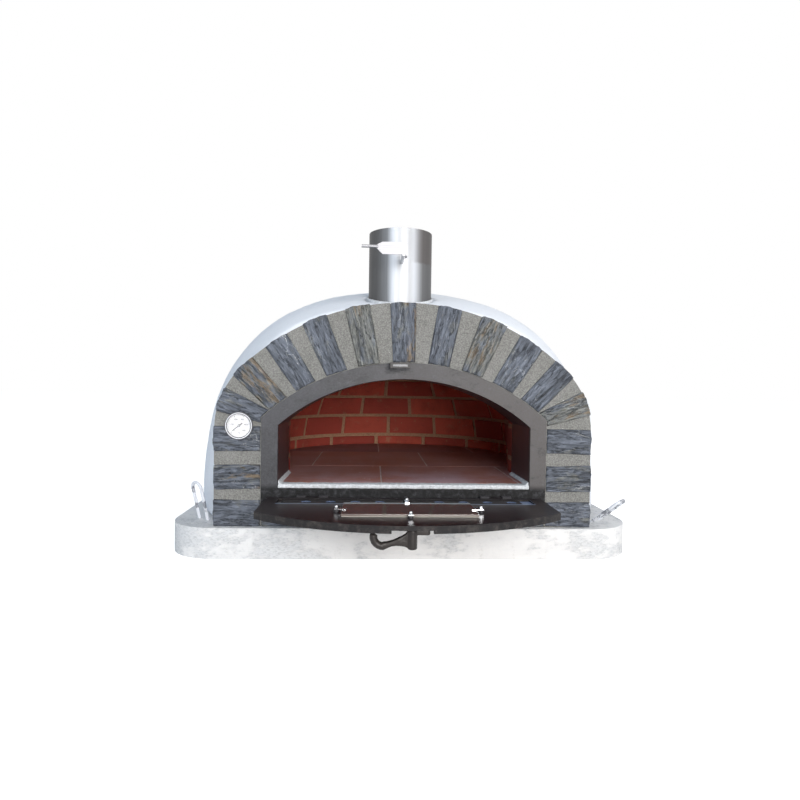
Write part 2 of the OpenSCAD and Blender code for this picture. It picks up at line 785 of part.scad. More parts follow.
module door_panel() {
    color("#1b191b") difference() {
        union() {
            on_door(-door_t, door_t) door_outline(0);
            on_door(-rim_depth, rim_depth) difference() {
                door_outline(0);
                door_outline(rim_w);
            }
            on_door(-door_t, door_t) for (side = [-1, 1])
                translate([side * hinge_x - knuckle_w / 2, 0])
                    square([knuckle_w, door_near + lip]);
            at_hinge() for (side = [-1, 1])
                along_x(side * hinge_x - knuckle_w / 2, knuckle_w, hinge_drop);
        }
        on_door(-far / 4 - door_t, far / 4) translate([-notch_half, door_far - notch_in])
            square([2 * notch_half, 2 * notch_in]);
        on_door(-far / 4, far / 2) inset_glass(window_inset);
        on_door(-lip_t - run_fit, door_t) translate([-channel_len / 2, slider_s - slider_w / 2 + lip_w])
            square([channel_len, slider_w - 2 * lip_w]);
        on_door(-lip_t - channel_deep, channel_deep)
            translate([-channel_len / 2, slider_s - slider_w / 2 - seat])
                square([channel_len, slider_w + 2 * seat]);
        for (x = HOLE_XS) at_s(slider_s) translate([x, 0, 0]) cylinder(r = hole_r - seat, h = far);
        at_hinge() for (side = [-1, 1])
            along_x(side * hinge_x - knuckle_w, 2 * knuckle_w, pin_r + run_fit);
        at_s(hub_s) translate([0, 0, inner_z - door_t - lip])
            cylinder(r = spindle_r + run_fit, h = spindle_bite + lip);
    }
}

gasket_t = 1.5;
gasket_in = 1;              // from the glass's edge
gasket_w = window_inset - 3;
glass_seat = gasket_t + seat / 3;

module door_glass() {
    color("sienna", 0.6) on_door(glass_seat, glass_t) inset_glass(0);
}

module glass_gasket() {
    color("white") on_door(0, gasket_t) difference() {
        inset_glass(gasket_in);
        inset_glass(gasket_in + gasket_w);
    }
}

// The window glass's outline, smaller by e all round
module inset_glass(e) {
    translate([-glass_w / 2 + e, glass_s - glass_h / 2 + e]) square([glass_w - 2 * e, glass_h - 2 * e]);
}

touch = 0.1;                // between pieces that are screwed together
clip_z = glass_seat + glass_t + touch;      // underside of the clips above the inner face
clip_t = 2;
clip_len = 24;
clip_w = 10;
boss_r = 5.5;
nut_r = 4.5;
nut_h = 3.4;
nut_dome_r = 3.2;
stud_r = 3;

module at_clip(clip) {
    translate([clip[0], hinge_y - clip[1], inner_z]) rotate([0, 0, -clip[2]]) children();
}

module clip_spacers() {
    color(IRON) for (clip = CLIPS) at_clip(clip) difference() {
        cylinder(r = boss_r, h = clip_z - touch / 2);
        translate([0, 0, -lip]) cylinder(r = stud_r + touch, h = far);
    }
}

module glass_clips() {
    color(STEEL) for (clip = CLIPS) at_clip(clip) difference() {
        translate([-clip_w / 2, -clip_w / 2, clip_z]) cube([clip_len, clip_w, clip_t]);
        cylinder(r = stud_r + touch, h = far);
    }
}

// Dome nuts on their studs
module clip_nuts() {
    color(STEEL) for (clip = CLIPS) at_clip(clip) {
        translate([0, 0, clip_z + clip_t + touch]) cylinder(r = nut_r, h = nut_h, $fn = 6);
        translate([0, 0, clip_z + clip_t + nut_h]) sphere(r = nut_dome_r);
        translate([0, 0, touch]) cylinder(r = stud_r, h = clip_z + clip_t + nut_h / 2);
    }
}

slider_top = -lip_t - slider_play;
knob_r = 7;
knob_h = 11;

module air_slider() {
    color("#383b40") on_door(slider_top - slider_t, slider_t) difference() {
        translate([-slider_len / 2 - slider_shift, slider_s - slider_w / 2]) square([slider_len, slider_w]);
        for (x = HOLE_XS) translate([x + slider_shift, slider_s]) circle(r = hole_r);
        translate([0, slider_s]) circle(r = stud_r);
    }
}

module slider_knob() {
    color("black") at_s(slider_s) translate([0, 0, inner_z + slider_top]) {
        translate([0, 0, touch]) cylinder(r = knob_r, h = knob_h / 2);
        translate([0, 0, knob_h / 2]) cylinder(r = knob_r * 0.7, h = knob_h / 2);
        translate([0, 0, -slider_t]) cylinder(r = stud_r - run_fit, h = slider_t + lip);
    }
}

// ---------- handle and latch, under the open door ----------

plate_under = inner_z - door_t;             // outer face of the plate when open
hub_gap = 0.4;
hub_top = plate_under - hub_gap;
end_round = 2;                              // chamfer at the hub's end
spindle_bite = 6;                           // the spindle goes into the plate
nut_deep = 3;                               // recess in the hub's end for the spindle's head
hook_r = 17.5;                              // radius of the hook's curl
hook_x = hook_reach - hook_r - hook_bar_d / 2;
hook_z = hub_len - hook_r - hook_bar_d / 2 - hub_gap;   // curl's centre below the hub's top
hook_turn = 102;                            // the curl ends just under the rim

module handle_place() {
    at_s(hub_s) translate([0, 0, hub_top]) rotate([180, 0, 0]) children();
}

// The web from the hub to the curl, a curve above and below
module hook_web() {
    web_t = 9;
    waist = 7;              // how far the lower curve is drawn in
    x0 = -hook_x;
    x1 = -hub_r + lip;
    span = x1 - x0;
    hub_low = hub_len - nut_deep;
    curl_low = hook_z + hook_r + hook_bar_d / 2;
    curl_high = curl_low - hook_bar_d;
    top = [for (i = [0:6]) let (t = i / 6)
        [x0 + span * (1 - pow(1 - t, 1.25)), curl_high * (1 - pow(t, 1.6)) + lip * t]];
    low = [for (i = [0:6]) let (t = i / 6)
        [x1 - span * t, hub_low - sin(180 * t) * waist - (hub_low - curl_low) * t]];
    translate([0, web_t / 2, 0]) rotate([90, 0, 0]) linear_extrude(web_t)
        polygon(concat(top, low));
}

// In the handle's frame Z points away from the plate
module door_handle() {
    tongue_w = 10;
    color("#3a322e") handle_place() difference() {
        union() {
            cylinder(r = hub_r, h = hub_len - end_round);
            translate([0, 0, hub_len - end_round])
                cylinder(r1 = hub_r, r2 = hub_r - end_round, h = end_round);
            translate([-hook_x, 0, hook_z]) rotate([90, 0, 0]) rotate([0, 0, 90])
                rotate_extrude(angle = hook_turn) translate([hook_r, 0]) circle(d = hook_bar_d, $fn = 32);
            hook_web();
            translate([0, -tongue_w / 2, 0]) cube([tongue_reach - tongue_w / 2, tongue_w, tongue_t]);
            translate([tongue_reach - tongue_w / 2, 0, 0]) cylinder(d = tongue_w, h = tongue_t);
        }
        translate([0, 0, -lip]) cylinder(r = spindle_r + run_fit, h = hub_len + 2 * lip);
        translate([0, 0, hub_len - nut_deep]) cylinder(r = spindle_head_r + 0.2, h = 2 * nut_deep);
    }
}

module handle_spindle() {
    color(STEEL) handle_place() {
        translate([0, 0, -hub_gap - spindle_bite + 2 * run_fit])
            cylinder(r = spindle_r, h = hub_len + hub_gap + spindle_bite - lip);
        translate([0, 0, hub_len - nut_deep + seat]) cylinder(r = spindle_head_r, h = nut_deep / 2);
    }
}

// ---------- chimney and damper ----------

module chimney_pipe() {
    color("lightgray") difference() {
        translate([pipe_x, pipe_y, pipe_seat_z + seat])
            cylinder(r = pipe_r, h = pipe_top - pipe_seat_z - seat, $fn = 120);
        translate([pipe_x, pipe_y, 0]) cylinder(r = pipe_r - pipe_wall, h = far, $fn = 120);
        translate([pipe_x, pipe_y, damper_z]) rotate([90, 0, 0])
            cylinder(r = shaft_r + run_fit, h = 3 * pipe_r, center = true);
    }
}

// Bead of mortar between the pipe and the render
module chimney_seal() {
    color("white") difference() {
        intersection() {
            translate([pipe_x, pipe_y, 0]) cylinder(r = pipe_r + seal_w - seat, h = far, $fn = 120);
            shell_solid(shell_y0, -seal_proud, 0);
        }
        shell_solid(shell_y0 - lip, render_t, lip);
        pipe_hole(0, seat);
    }
}

shaft_r = damper_shaft_d / 2;
plate_t = 1.5;
damper_play = 1.5;
damper_r = pipe_r - pipe_wall - damper_play;
handle_y = pipe_y - pipe_r - damper_reach;  // back of the strap
strap_t = 3;
grip_r = 3.5;
grip_len = 34;
rivet_r = 2;
rivet_head_r = 4;
rivet_head = 1.5;
shaft_end = 6;                              // the shaft stands out behind the pipe
plate_gap = 0.05;

module damper_plate() {
    color(STEEL) translate([pipe_x, pipe_y, damper_z - shaft_r - plate_t - plate_gap]) difference() {
        cylinder(r = damper_r, h = plate_t, $fn = 120);
        for (y = [-1, 1]) translate([0, y * pipe_r / 2, -lip])
            cylinder(r = rivet_r + run_fit, h = plate_t + 2 * lip);
    }
}

module damper_shaft() {
    color(STEEL) translate([pipe_x, handle_y, damper_z]) difference() {
        rotate([-90, 0, 0]) cylinder(r = shaft_r, h = damper_reach + 2 * pipe_r + shaft_end);
        for (y = [-1, 1]) translate([0, damper_reach + pipe_r + y * pipe_r / 2, 0])
            cylinder(r = rivet_r + run_fit, h = 4 * shaft_r, center = true);
    }
}

module damper_rivets() {
    color(STEEL) for (y = [-1, 1]) translate([pipe_x, pipe_y + y * pipe_r / 2, damper_z]) {
        translate([0, 0, -shaft_r - plate_t - rivet_head - 2 * plate_gap]) {
            cylinder(r = rivet_r, h = 2 * shaft_r + plate_t + 2 * lip);
            cylinder(r = rivet_head_r, h = rivet_head);
        }
    }
}

// A pressed strap whose left end is drawn down to a round grip
module damper_handle() {
    strap_x = 8;                            // the strap's right edge
    strap_z0 = damper_z - 2;                // and its lower edge
    grip_z = strap_z0 + strap_h / 2 + 3;
    neck = 14;
    flange = 30;                            // bent back at the right edge
    flange_drop = 3;
    joint_len = 4;                          // the grip starts inside the neck
    color(STEEL) translate([pipe_x, handle_y, 0]) {
        translate([strap_x - strap_len, -strap_t, strap_z0]) cube([strap_len, strap_t, strap_h]);
        translate([strap_x - strap_t, -strap_t, strap_z0 - flange_drop])
            cube([strap_t, flange, strap_h]);
        translate([strap_x - strap_len, 0, 0]) rotate([90, 0, 0]) linear_extrude(strap_t)
            polygon([[0, strap_z0], [0, strap_z0 + strap_h], [-neck, grip_z + grip_r],
                [-neck, grip_z - grip_r]]);
        translate([strap_x - strap_len - neck - grip_len, -strap_t, grip_z])
            along_x(0, grip_len + joint_len, grip_r);
    }
}

// ---------- thermometer ----------

probe_r = 3;
dial_set = 8;                               // depth of the case in the wall
dial_face_y = wall_y - dial_case_d + dial_set;     // front of the dial's case
case_r = dial_d / 2 - 2;
case_wall = 2;
case_back = 6;                              // thickness of the case's back
probe_y = dial_face_y + dial_case_d - case_back + 1.5;
dial_r = case_r - case_wall - 0.2;          // the dial and the lens sit in the case
pivot_r = 1;
pivot_cap_r = 1.8;
needle_y = dial_face_y + 3.2;
needle_t = 0.6;
needle_len = 21;
needle_tail = 9;
needle_hub_r = 3;
needle_angle = 218;                         // down and to the left

// The dial's centre, on the mortar wall's face
module at_dial() {
    translate([-dial_x, wall_y, dial_z]) children();
}

module dial_disc(y, r, h) {
    translate([-dial_x, y, dial_z]) rotate([-90, 0, 0]) cylinder(r = r, h = h);
}

module thermometer_case() {
    color(STEEL) difference() {
        dial_disc(dial_face_y, case_r, dial_case_d - seat);
        dial_disc(dial_face_y - lip, case_r - case_wall, dial_case_d - case_back);
        dial_disc(dial_face_y, probe_r + run_fit, 2 * dial_case_d);
    }
}

module thermometer_bezel() {
    edge_t = 1.3;
    skirt = 6;
    color(STEEL) difference() {
        dial_disc(dial_face_y - edge_t - touch, dial_d / 2, skirt);
        dial_disc(dial_face_y - 2 * edge_t, dial_d / 2 - 5, 2 * skirt);
        dial_disc(dial_face_y - touch, case_r + touch, 2 * skirt);
    }
}

module thermometer_dial() {
    color("white") difference() {
        dial_disc(dial_face_y + 4.8, dial_r, 1);
        dial_disc(dial_face_y, pivot_r + 2 * touch, dial_case_d);
    }
}

// The fixed pin that the needle turns on, carried by the probe
module needle_pin() {
    color(STEEL) {
        dial_disc(needle_y - 2 * needle_t, pivot_r, probe_y - needle_y + 2 * needle_t - touch);
        dial_disc(needle_y - 2 * needle_t, pivot_cap_r, needle_t);
    }
}

// Points down and to the left, with a short tail
module thermometer_needle() {
    color("black") translate([-dial_x, needle_y, dial_z]) rotate([90, 0, 0]) difference() {
        rotate([0, 0, needle_angle]) translate([0, 0, -needle_t]) union() {
            cylinder(r = needle_hub_r, h = 1.5 * needle_t);
            linear_extrude(needle_t) polygon([[-needle_tail, 1.3], [needle_len, 0.4],
                [needle_len, -0.4], [-needle_tail, -1.3]]);
        }
        cylinder(r = pivot_r + run_fit, h = 4 * needle_t, center = true);
    }
}

module thermometer_lens() {
    color("aliceblue", 0.4) dial_disc(dial_face_y, dial_r, 1.5);
}

module thermometer_probe() {
    color(STEEL) dial_disc(probe_y, probe_r, probe_len);
}

// ---------- assembly ----------

base_slab();
lifting_loops();
hearth_insulation();
hearth_tiles();
hearth_edge_mortar();
brick_course_1();
brick_course_2();
brick_course_3();
brick_course_4();
brick_course_5();
brick_course_6();
brick_course_7();
dome_crown();
dome_mortar();
mouth_vault();
dome_insulation();
render_shell();
front_wall();
key_stone();
arch_stones_left();
arch_stones_right();
leg_stones_left();
leg_stones_right();
sill_stones();
door_frame();
frame_reveal();
latch_keeper();
hinge_ears();
hinge_pins();
door_panel();
door_glass();
glass_gasket();
clip_spacers();
glass_clips();
clip_nuts();
air_slider();
slider_knob();
door_handle();
handle_spindle();
chimney_pipe();
chimney_seal();
damper_plate();
damper_shaft();
damper_rivets();
damper_handle();
thermometer_case();
thermometer_bezel();
thermometer_dial();
needle_pin();
thermometer_needle();
thermometer_lens();
thermometer_probe();
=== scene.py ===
"""Wood fired pizza oven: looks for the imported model.

Run as a script, it loads the model, gives every part its finish, replaces the
plain parts with detailed ones and builds a small studio around the oven.
Lengths are metres, +Z is up and -Y is the front.
"""

import math
import random
from functools import cache, cached_property, reduce

import bpy
from bpy.props import FloatProperty, FloatVectorProperty, IntProperty, PointerProperty
from mathutils import Matrix, Vector


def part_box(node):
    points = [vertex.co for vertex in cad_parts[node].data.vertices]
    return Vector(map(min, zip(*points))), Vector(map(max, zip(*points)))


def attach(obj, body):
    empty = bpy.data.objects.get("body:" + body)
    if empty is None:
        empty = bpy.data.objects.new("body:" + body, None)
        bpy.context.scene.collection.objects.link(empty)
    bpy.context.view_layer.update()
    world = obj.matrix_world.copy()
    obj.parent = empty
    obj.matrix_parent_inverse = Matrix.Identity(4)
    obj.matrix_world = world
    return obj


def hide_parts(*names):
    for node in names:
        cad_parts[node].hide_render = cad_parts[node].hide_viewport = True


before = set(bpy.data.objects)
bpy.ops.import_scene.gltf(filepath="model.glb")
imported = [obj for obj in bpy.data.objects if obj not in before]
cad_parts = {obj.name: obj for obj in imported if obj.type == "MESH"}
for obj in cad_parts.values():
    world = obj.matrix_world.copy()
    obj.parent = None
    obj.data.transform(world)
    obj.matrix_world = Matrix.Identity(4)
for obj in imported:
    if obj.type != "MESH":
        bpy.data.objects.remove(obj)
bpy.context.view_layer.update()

bl_info = {
    "name": "Wood Fired Pizza Oven",
    "version": (1, 0, 0),
    "blender": (4, 5, 0),
    "location": "View3D > Sidebar > Oven",
    "description": "Finishes, details and studio for a brick pizza oven",
    "category": "Object",
}


# ---------- sizes and colours ----------

def length(name, default, description):
    """A length that a user can change."""
    return FloatProperty(name=name, description=description, default=default, min=0,
                         precision=4, unit="LENGTH")


def colour(name, default, description):
    """A colour that a user can change."""
    return FloatVectorProperty(name=name, description=description, default=default,
                               size=3, min=0, max=1, subtype="COLOR")


class OvenSizes(bpy.types.PropertyGroup):
    """Sizes of the oven's surface detail"""
    slab_edge: length("Slab edge", 0.005, "Rounding of the cast slab's edges")
    coat_voxel: length("Render mesh", 0.0085, "Mesh size of the white render")
    coat_relief: length("Render relief", 0.004, "Height of the trowel's waves in the render")
    slate_voxel: length("Slate mesh", 0.003, "Mesh size of the slate stones")
    slate_relief: length("Slate relief", 0.0035, "Height of the slate's riven layers")
    brick_edge: length("Brick edge", 0.004, "Rounding of the bricks")
    tile_edge: length("Tile edge", 0.0012, "Rounding of the hearth tiles")
    grout_sink: length("Grout sink", 0.0008, "Depth of the grout below the hearth tiles")
    handle_voxel: length("Casting mesh", 0.0011, "Mesh size of the cast handle")
    bead: length("Mortar bead", 0.0011, "Radius of the bead round the door frame")
    arch_centre: FloatProperty(name="Arch centre", default=-0.033, precision=4, unit="LENGTH",
                               description="Height of the centre of the mouth's arch")
    hole: length("Air hole", 0.018, "Diameter of the door's air holes")
    hole_pitch: length("Air hole pitch", 0.054, "Spacing of the air holes")
    hole_first: length("First air hole", 0.066, "Distance of the first air hole from the middle")
    dial_text: length("Dial figures", 0.0052, "Height of the figures on the dial")
    dial_step: IntProperty(name="Dial step", default=100,
                           description="Step between the dial's figures")


class OvenColours(bpy.types.PropertyGroup):
    """Main colours of the oven"""
    paint: colour("Slab paint", (0.775, 0.770, 0.772), "White paint on the cast slab")
    coat: colour("Render", (0.82, 0.85, 0.91), "White render over the dome")
    mortar: colour("Mortar", (0.210, 0.207, 0.196), "Sandy mortar between the stones")
    slate: colour("Slate", (0.118, 0.132, 0.163), "Blue-grey slate")
    ochre: colour("Ochre", (0.22, 0.15, 0.085), "Rusty layers in the slate")
    olive: colour("Olive", (0.20, 0.20, 0.175), "Olive layers in the slate")
    iron: colour("Iron", (0.057, 0.057, 0.063), "Stove-black iron of the frame")
    enamel: colour("Enamel", (0.011, 0.0075, 0.009), "Gloss black of the door")
    brick: colour("Brick", (0.44, 0.078, 0.058), "Red fire brick")
    joint: colour("Fire mortar", (0.42, 0.245, 0.155), "Brown mortar between the bricks")
    tile: colour("Tile", (0.265, 0.108, 0.104), "Maroon hearth tile")
    steel: colour("Steel", (0.43, 0.435, 0.45), "Brushed stainless steel")
    glass: colour("Glass", (0.135, 0.10, 0.098), "Smoked window glass")


def sizes():
    return bpy.context.scene.oven_sizes


def colours():
    return bpy.context.scene.oven_colours


# ---------- materials ----------

def maths(operation, swapped=False):
    """A method of Value that adds a Math node."""
    def method(self, *others):
        values = (*others, self) if swapped else (self, *others)
        return self.finish.node("Math", dict(enumerate(values)), operation=operation)
    return method


class Value:
    """A node's output that takes part in Python expressions."""

    def __init__(self, finish, socket):
        self.finish, self.socket = finish, socket

    __add__ = __radd__ = maths("ADD")
    __sub__ = maths("SUBTRACT")
    __rsub__ = maths("SUBTRACT", swapped=True)
    __mul__ = __rmul__ = maths("MULTIPLY")
    __truediv__ = maths("DIVIDE")
    __abs__ = maths("ABSOLUTE")
    rounded = maths("ROUND")
    root = maths("SQRT")
    most = maths("MAXIMUM")


class Finish:
    """One procedural material: its nodes, and the sockets that vary over the surface."""

    def __init__(self, name, kind="Principled BSDF", owner=None, shine=0.5, **constants):
        self.material = owner or bpy.data.materials.new(name)
        self.material.use_nodes = True
        self.tree = self.material.node_tree
        self.shader = self.tree.nodes[kind]
        if kind == "Principled BSDF":
            self.shader.inputs["Specular IOR Level"].default_value = shine
        for key, value in constants.items():
            self.shader.inputs[key.replace("_", " ")].default_value = value

    def node(self, kind, inputs=(), out=0, stops=None, **settings):
        """Adds a node, sets it up, fills its inputs and returns one output."""
        made = self.tree.nodes.new("ShaderNode" + kind)
        for key, value in settings.items():
            setattr(made, key, value)
        if stops:
            ramp = made.color_ramp.elements
            while len(ramp) < len(stops):
                ramp.new(0.5)
            for element, (place, tint) in zip(ramp, stops):
                element.position, element.color = place, (*tint, 1)
        for key, value in dict(inputs).items():
            if isinstance(value, Value):
                self.tree.links.new(value.socket, made.inputs[key])
            else:
                made.inputs[key].default_value = value
        return Value(self, made.outputs[out])

    @cached_property
    def spot(self):
        """The place on the piece, in its own coordinates."""
        return self.node("TexCoord", out="Object")

    def along(self, axis, vector=None):
        """One of a vector's numbers, or of the place's."""
        return self.node("SeparateXYZ", {0: vector or self.spot}, out=axis)

    def scaled(self, scale, vector=None, turn=(0, 0, 0), shift=(0, 0, 0)):
        return self.node("Mapping", {"Vector": vector or self.spot, "Scale": scale,
                                     "Rotation": turn, "Location": shift})

    def noise(self, scale, vector=None, detail=4, rough=0.55, bend=0, **placing):
        """Noise at one scale, or at one for each axis."""
        vector = vector or self.spot
        if isinstance(scale, tuple):
            vector, scale = self.scaled(scale, vector, **placing), 1
        return self.node("TexNoise", {"Vector": vector, "Scale": scale, "Detail": detail,
                                      "Roughness": rough, "Distortion": bend})

    def specks(self, scale, radius, share):
        """Round dots of a radius, given in cells, in that share of the cells."""
        near, pick = (self.node("TexVoronoi", {"Vector": self.spot, "Scale": scale}, out=out)
                      for out in ("Distance", "Color"))
        return self.step(near, radius, radius * 0.6) * self.step(pick, 1 - share, 1 - share + 0.02)

    def step(self, value, low, high):
        """0 at low, 1 at high and smooth between; low may be the larger."""
        return self.node("MapRange", {"Value": value, "From Min": low, "From Max": high},
                         interpolation_type="SMOOTHSTEP")

    def mix(self, share, a, b):
        """Two colours mixed: the first where the share is 0, the second where it is 1."""
        a, b = (v if isinstance(v, Value) else (*v, 1) for v in (a, b))
        return self.node("Mix", {0: share, 6: a, 7: b}, out=2, data_type="RGBA")

    def layers(self, colour, *coats):
        """A colour under coats, each of them a mask and the coat's colour."""
        for mask, coat in coats:
            colour = self.mix(mask, colour, coat)
        return colour

    def ramp(self, value, *stops):
        return self.node("ValToRGB", {"Fac": value}, stops=stops)

    def attribute(self, name):
        return self.node("Attribute", attribute_name=name, out="Fac")

    def set(self, **links):
        for key, value in links.items():
            self.tree.links.new(value.socket, self.shader.inputs[key.replace("_", " ")])

    def done(self, colour, rough, height=None, depth=0.0, strength=1.0, **others):
        """Links what varies, with the height as bumps of that depth."""
        self.set(Base_Color=colour, Roughness=rough, **others)
        if height:
            self.set(Normal=self.node("Bump", {"Height": height, "Distance": depth,
                                               "Strength": strength}))
        return self.material


def shade(base, *factors):
    """A colour times one factor, or times one for each channel."""
    return tuple(min(1.0, c * factor) for c, factor in zip(base, factors * 3))


def paint_finish():
    """White paint on rough concrete, peeled and stained in patches"""
    f = Finish("slab_paint", shine=0.25)
    broad = f.noise(5, detail=5, rough=0.6, bend=0.5)
    brushed = f.noise((26, 26, 60), detail=7, rough=0.75)
    # It peels most in one place, left of the middle
    here = f.step(abs(f.along("X") + 0.30), 0.24, 0.10)
    peeled = f.step(broad * 0.6 + brushed * 0.4 + here * 0.045, 0.515, 0.585)
    flecks = f.step(f.noise((110, 110, 300), detail=6, rough=0.8), 0.47, 0.60)
    drips = f.step(f.noise((60, 60, 9), rough=0.7), 0.56, 0.68)
    pits = f.specks(130, 0.17, 0.18)
    c = f.layers(
        colours().paint,
        (f.step(brushed, 0.35, 0.7) * 0.25, (0.62, 0.63, 0.66)),
        (peeled * 0.26, (0.47, 0.50, 0.54)),
        (peeled * flecks * 0.46, (0.34, 0.35, 0.36)),
        (drips * flecks * 0.30, (0.42, 0.40, 0.38)),
        (pits * 0.75, (0.20, 0.19, 0.18)))
    return f.done(c, 0.80 + peeled * 0.12,
                  f.noise(80, detail=8, rough=0.7) - pits * 0.8 - peeled * 0.5 + broad * 0.8,
                  0.0030, 0.6)


def coat_finish():
    """Sponged white render with a fine grain"""
    f = Finish("white_render", shine=0.2)
    base = colours().coat
    broad = f.noise(4, detail=5)
    grain = f.noise(420, detail=3, rough=0.8)
    c = f.layers(
        base,
        (f.step(broad, 0.4, 0.8) * 0.25, shade(base, 0.88)),
        (f.step(f.noise(150, rough=0.8), 0.50, 0.72) * 0.35, shade(base, 0.80)),
        (f.specks(40, 0.14, 0.1) * 0.5, (0.52, 0.50, 0.47)))
    return f.done(c, 0.86 + broad * 0.1, grain * 0.5 + f.noise(36, detail=5), 0.003, 0.55)


def sand_finish():
    """Sandy grey-beige mortar with pale and dark grains"""
    f = Finish("sand_mortar", shine=0.2)
    base = colours().mortar
    grain = f.noise(330, rough=0.8)
    clumps = f.noise(95, detail=6, rough=0.75)
    broad = f.noise(9, detail=6, rough=0.65)
    smudge = f.step(f.noise(26, detail=8, rough=0.78), 0.60, 0.72)
    c = f.layers(
        f.mix(f.step(grain, 0.36, 0.64), shade(base, 0.66), shade(base, 1.32)),
        (f.step(clumps, 0.50, 0.70) * 0.45, shade(base, 0.62)),
        (f.step(broad, 0.45, 0.75) * 0.35, shade(base, 1.5, 1.5, 1.55)),
        (smudge * 0.6, shade(base, 0.30)),
        (f.specks(105, 0.18, 0.09), (0.74, 0.74, 0.73)),
        (f.specks(140, 0.20, 0.10) * 0.8, shade(base, 0.25)))
    return f.done(c, 0.88 + grain * 0.1, grain * 0.6 + clumps, 0.0014, 0.7)


def slate_finish():
    """Riven slate: streaks along each stone, with its own rust, olive and quartz"""
    f = Finish("riven_slate", shine=0.45)
    base = colours().slate
    grain = f.node("UVMap", uv_map="grain")
    streak = f.noise((30, 190, 1), grain, detail=10, rough=0.82, bend=0.25)
    layer = f.noise((8, 85, 1), grain, detail=6, rough=0.62, bend=0.25)
    patch = f.noise((16, 46, 1), grain, detail=7, rough=0.65, bend=0.5, shift=(7, 3, 0))
    broad = f.noise((7, 12, 1), grain, detail=5, rough=0.6, shift=(3, 8, 0))
    chip = f.node("TexVoronoi", {"Vector": f.scaled((38, 150, 1), grain), "Scale": 1}, out="Color")
    chip = f.along("X", chip)
    split = f.noise((9, 70, 1), grain, detail=6, rough=0.7, bend=0.3, shift=(5, 1, 0))
    crack = f.step(abs(split - 0.5), 0.016, 0.004) * f.step(streak, 0.42, 0.54)
    vein = f.noise((14, 40, 1), grain, detail=5, bend=0.6, shift=(2, 9, 0))
    vein = f.step(abs(vein - 0.5), 0.008, 0.003) * f.step(broad, 0.50, 0.57)
    olive = f.step(patch + f.attribute("olive") * 0.26, 0.56, 0.74)
    rust = f.step(layer * 0.45 + patch * 0.55 + f.attribute("rust") * 0.20, 0.62, 0.70)

    def streaked(tint):
        return f.mix(f.step(streak, 0.36, 0.66), shade(tint, 0.35), shade(tint, 1.45))
    c = f.layers(
        f.ramp(streak * 0.68 + broad * 0.20 + chip * 0.12, (0.37, shade(base, 0.28)),
               (0.46, shade(base, 0.75)), (0.55, shade(base, 1.15)), (0.66, shade(base, 1.9))),
        (olive * 0.70, streaked(colours().olive)),
        (rust * 0.70, streaked(colours().ochre)),
        (f.step(layer, 0.44, 0.30) * 0.80, shade(base, 0.22)),
        (f.step(layer, 0.57, 0.70) * 0.25, shade(base, 1.5)),
        (crack * 0.85, shade(base, 0.12)),
        (vein * f.attribute("quartz"), (0.56, 0.57, 0.58)),
        (f.specks(80, 0.13, 0.08) * 0.7, (0.60, 0.60, 0.58)))
    return f.done(c, 0.58 + streak * 0.35,
                  streak * 0.8 + layer * 1.4 + chip * 0.35 - crack * 0.8, 0.0026)


def iron_finish(name, base, rough, brown_and_lit_side=0.0, wear=0.25, soot=0.0, shine=0.5):
    """Stove-black iron with a fine cast skin: cloudy, browner and lighter to the right, partly as
    painted light from that side, sooty at its foot
    """
    f = Finish(name, shine=shine)
    broad = f.noise(7, detail=6, rough=0.65)
    skin = f.noise(260, rough=0.7)
    rubbed = f.step(f.noise(30, detail=8, rough=0.78), 0.55, 0.72)
    stained = f.step(f.noise((17, 17, 27.2), detail=8, rough=0.78), 0.47, 0.36)
    # Browner and lighter to the right: partly the iron's tone, partly painted light falling from
    # the right
    side = f.step(f.along("X"), -0.25, 0.35)
    foot = f.step(f.along("Z"), 0.172, 0.155) * soot
    speckled = f.step(f.noise(70, detail=8, rough=0.8), 0.46, 0.66)
    c = f.layers(
        f.mix(f.step(broad, 0.38, 0.66), shade(base, 0.74), shade(base, 1.26)),
        (side * brown_and_lit_side, shade(base, 1.8, 1.55, 1.30)),
        (f.step(skin, 0.35, 0.70) * wear * 0.5, shade(base, 1.8)),
        (rubbed * wear * 0.7, shade(base, 2.4)),
        (stained * wear * 0.8, shade(base, 0.45)),
        (foot, f.mix(speckled, shade(base, 0.08), shade(base, 0.85))))
    return f.done(c, rough + (broad - 0.5) * 0.25 + foot * 0.3,
                  skin + broad + speckled * foot, 0.0008, 0.5)


def keeper_finish():
    """Black iron, light grey over the middle of its face: rubbed where the latch passes, and
    partly a painted lit face
    """
    f = Finish("worn_and_lit_iron", shine=0.4)
    low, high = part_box("latch_keeper")
    place = {"X": (low.x + high.x) / 2, "Z": (low.z + high.z) / 2}
    half = {"X": (high.x - low.x) / 2 - 0.0062, "Z": (high.z - low.z) / 2 - 0.0046}
    ragged = (f.noise(160, detail=5, rough=0.7) - 0.5) * 0.006
    inside = [f.step(abs(f.along(k) - place[k]) + ragged, half[k] + 0.0008, half[k] - 0.0008)
              for k in "XZ"]
    # Light grey in the middle: partly rubbed by the latch, partly painted light on the face
    c = f.mix(inside[0] * inside[1], (0.016, 0.014, 0.015), (0.26, 0.26, 0.27))
    return f.done(c, 0.45 + ragged * 20, f.noise(200), 0.0006, 0.5)


def air_holes(f, across, along, full, clear):
    """A mask round the air holes: 1 up to full and 0 past clear, which are squares of
    distances from a hole's centre, as shares of its squared diameter."""
    pitch, first, hole = sizes().hole_pitch, sizes().hole_first, sizes().hole
    count = (across - first) / pitch
    dx = (count - count.rounded()) * pitch
    near = f.step(dx * dx + along * along, hole ** 2 * clear, hole ** 2 * full)
    near = near * f.step(across, first + 3.5 * pitch, first + 3.4 * pitch)
    return near * f.step(across, first - 0.6 * pitch, first - 0.5 * pitch)


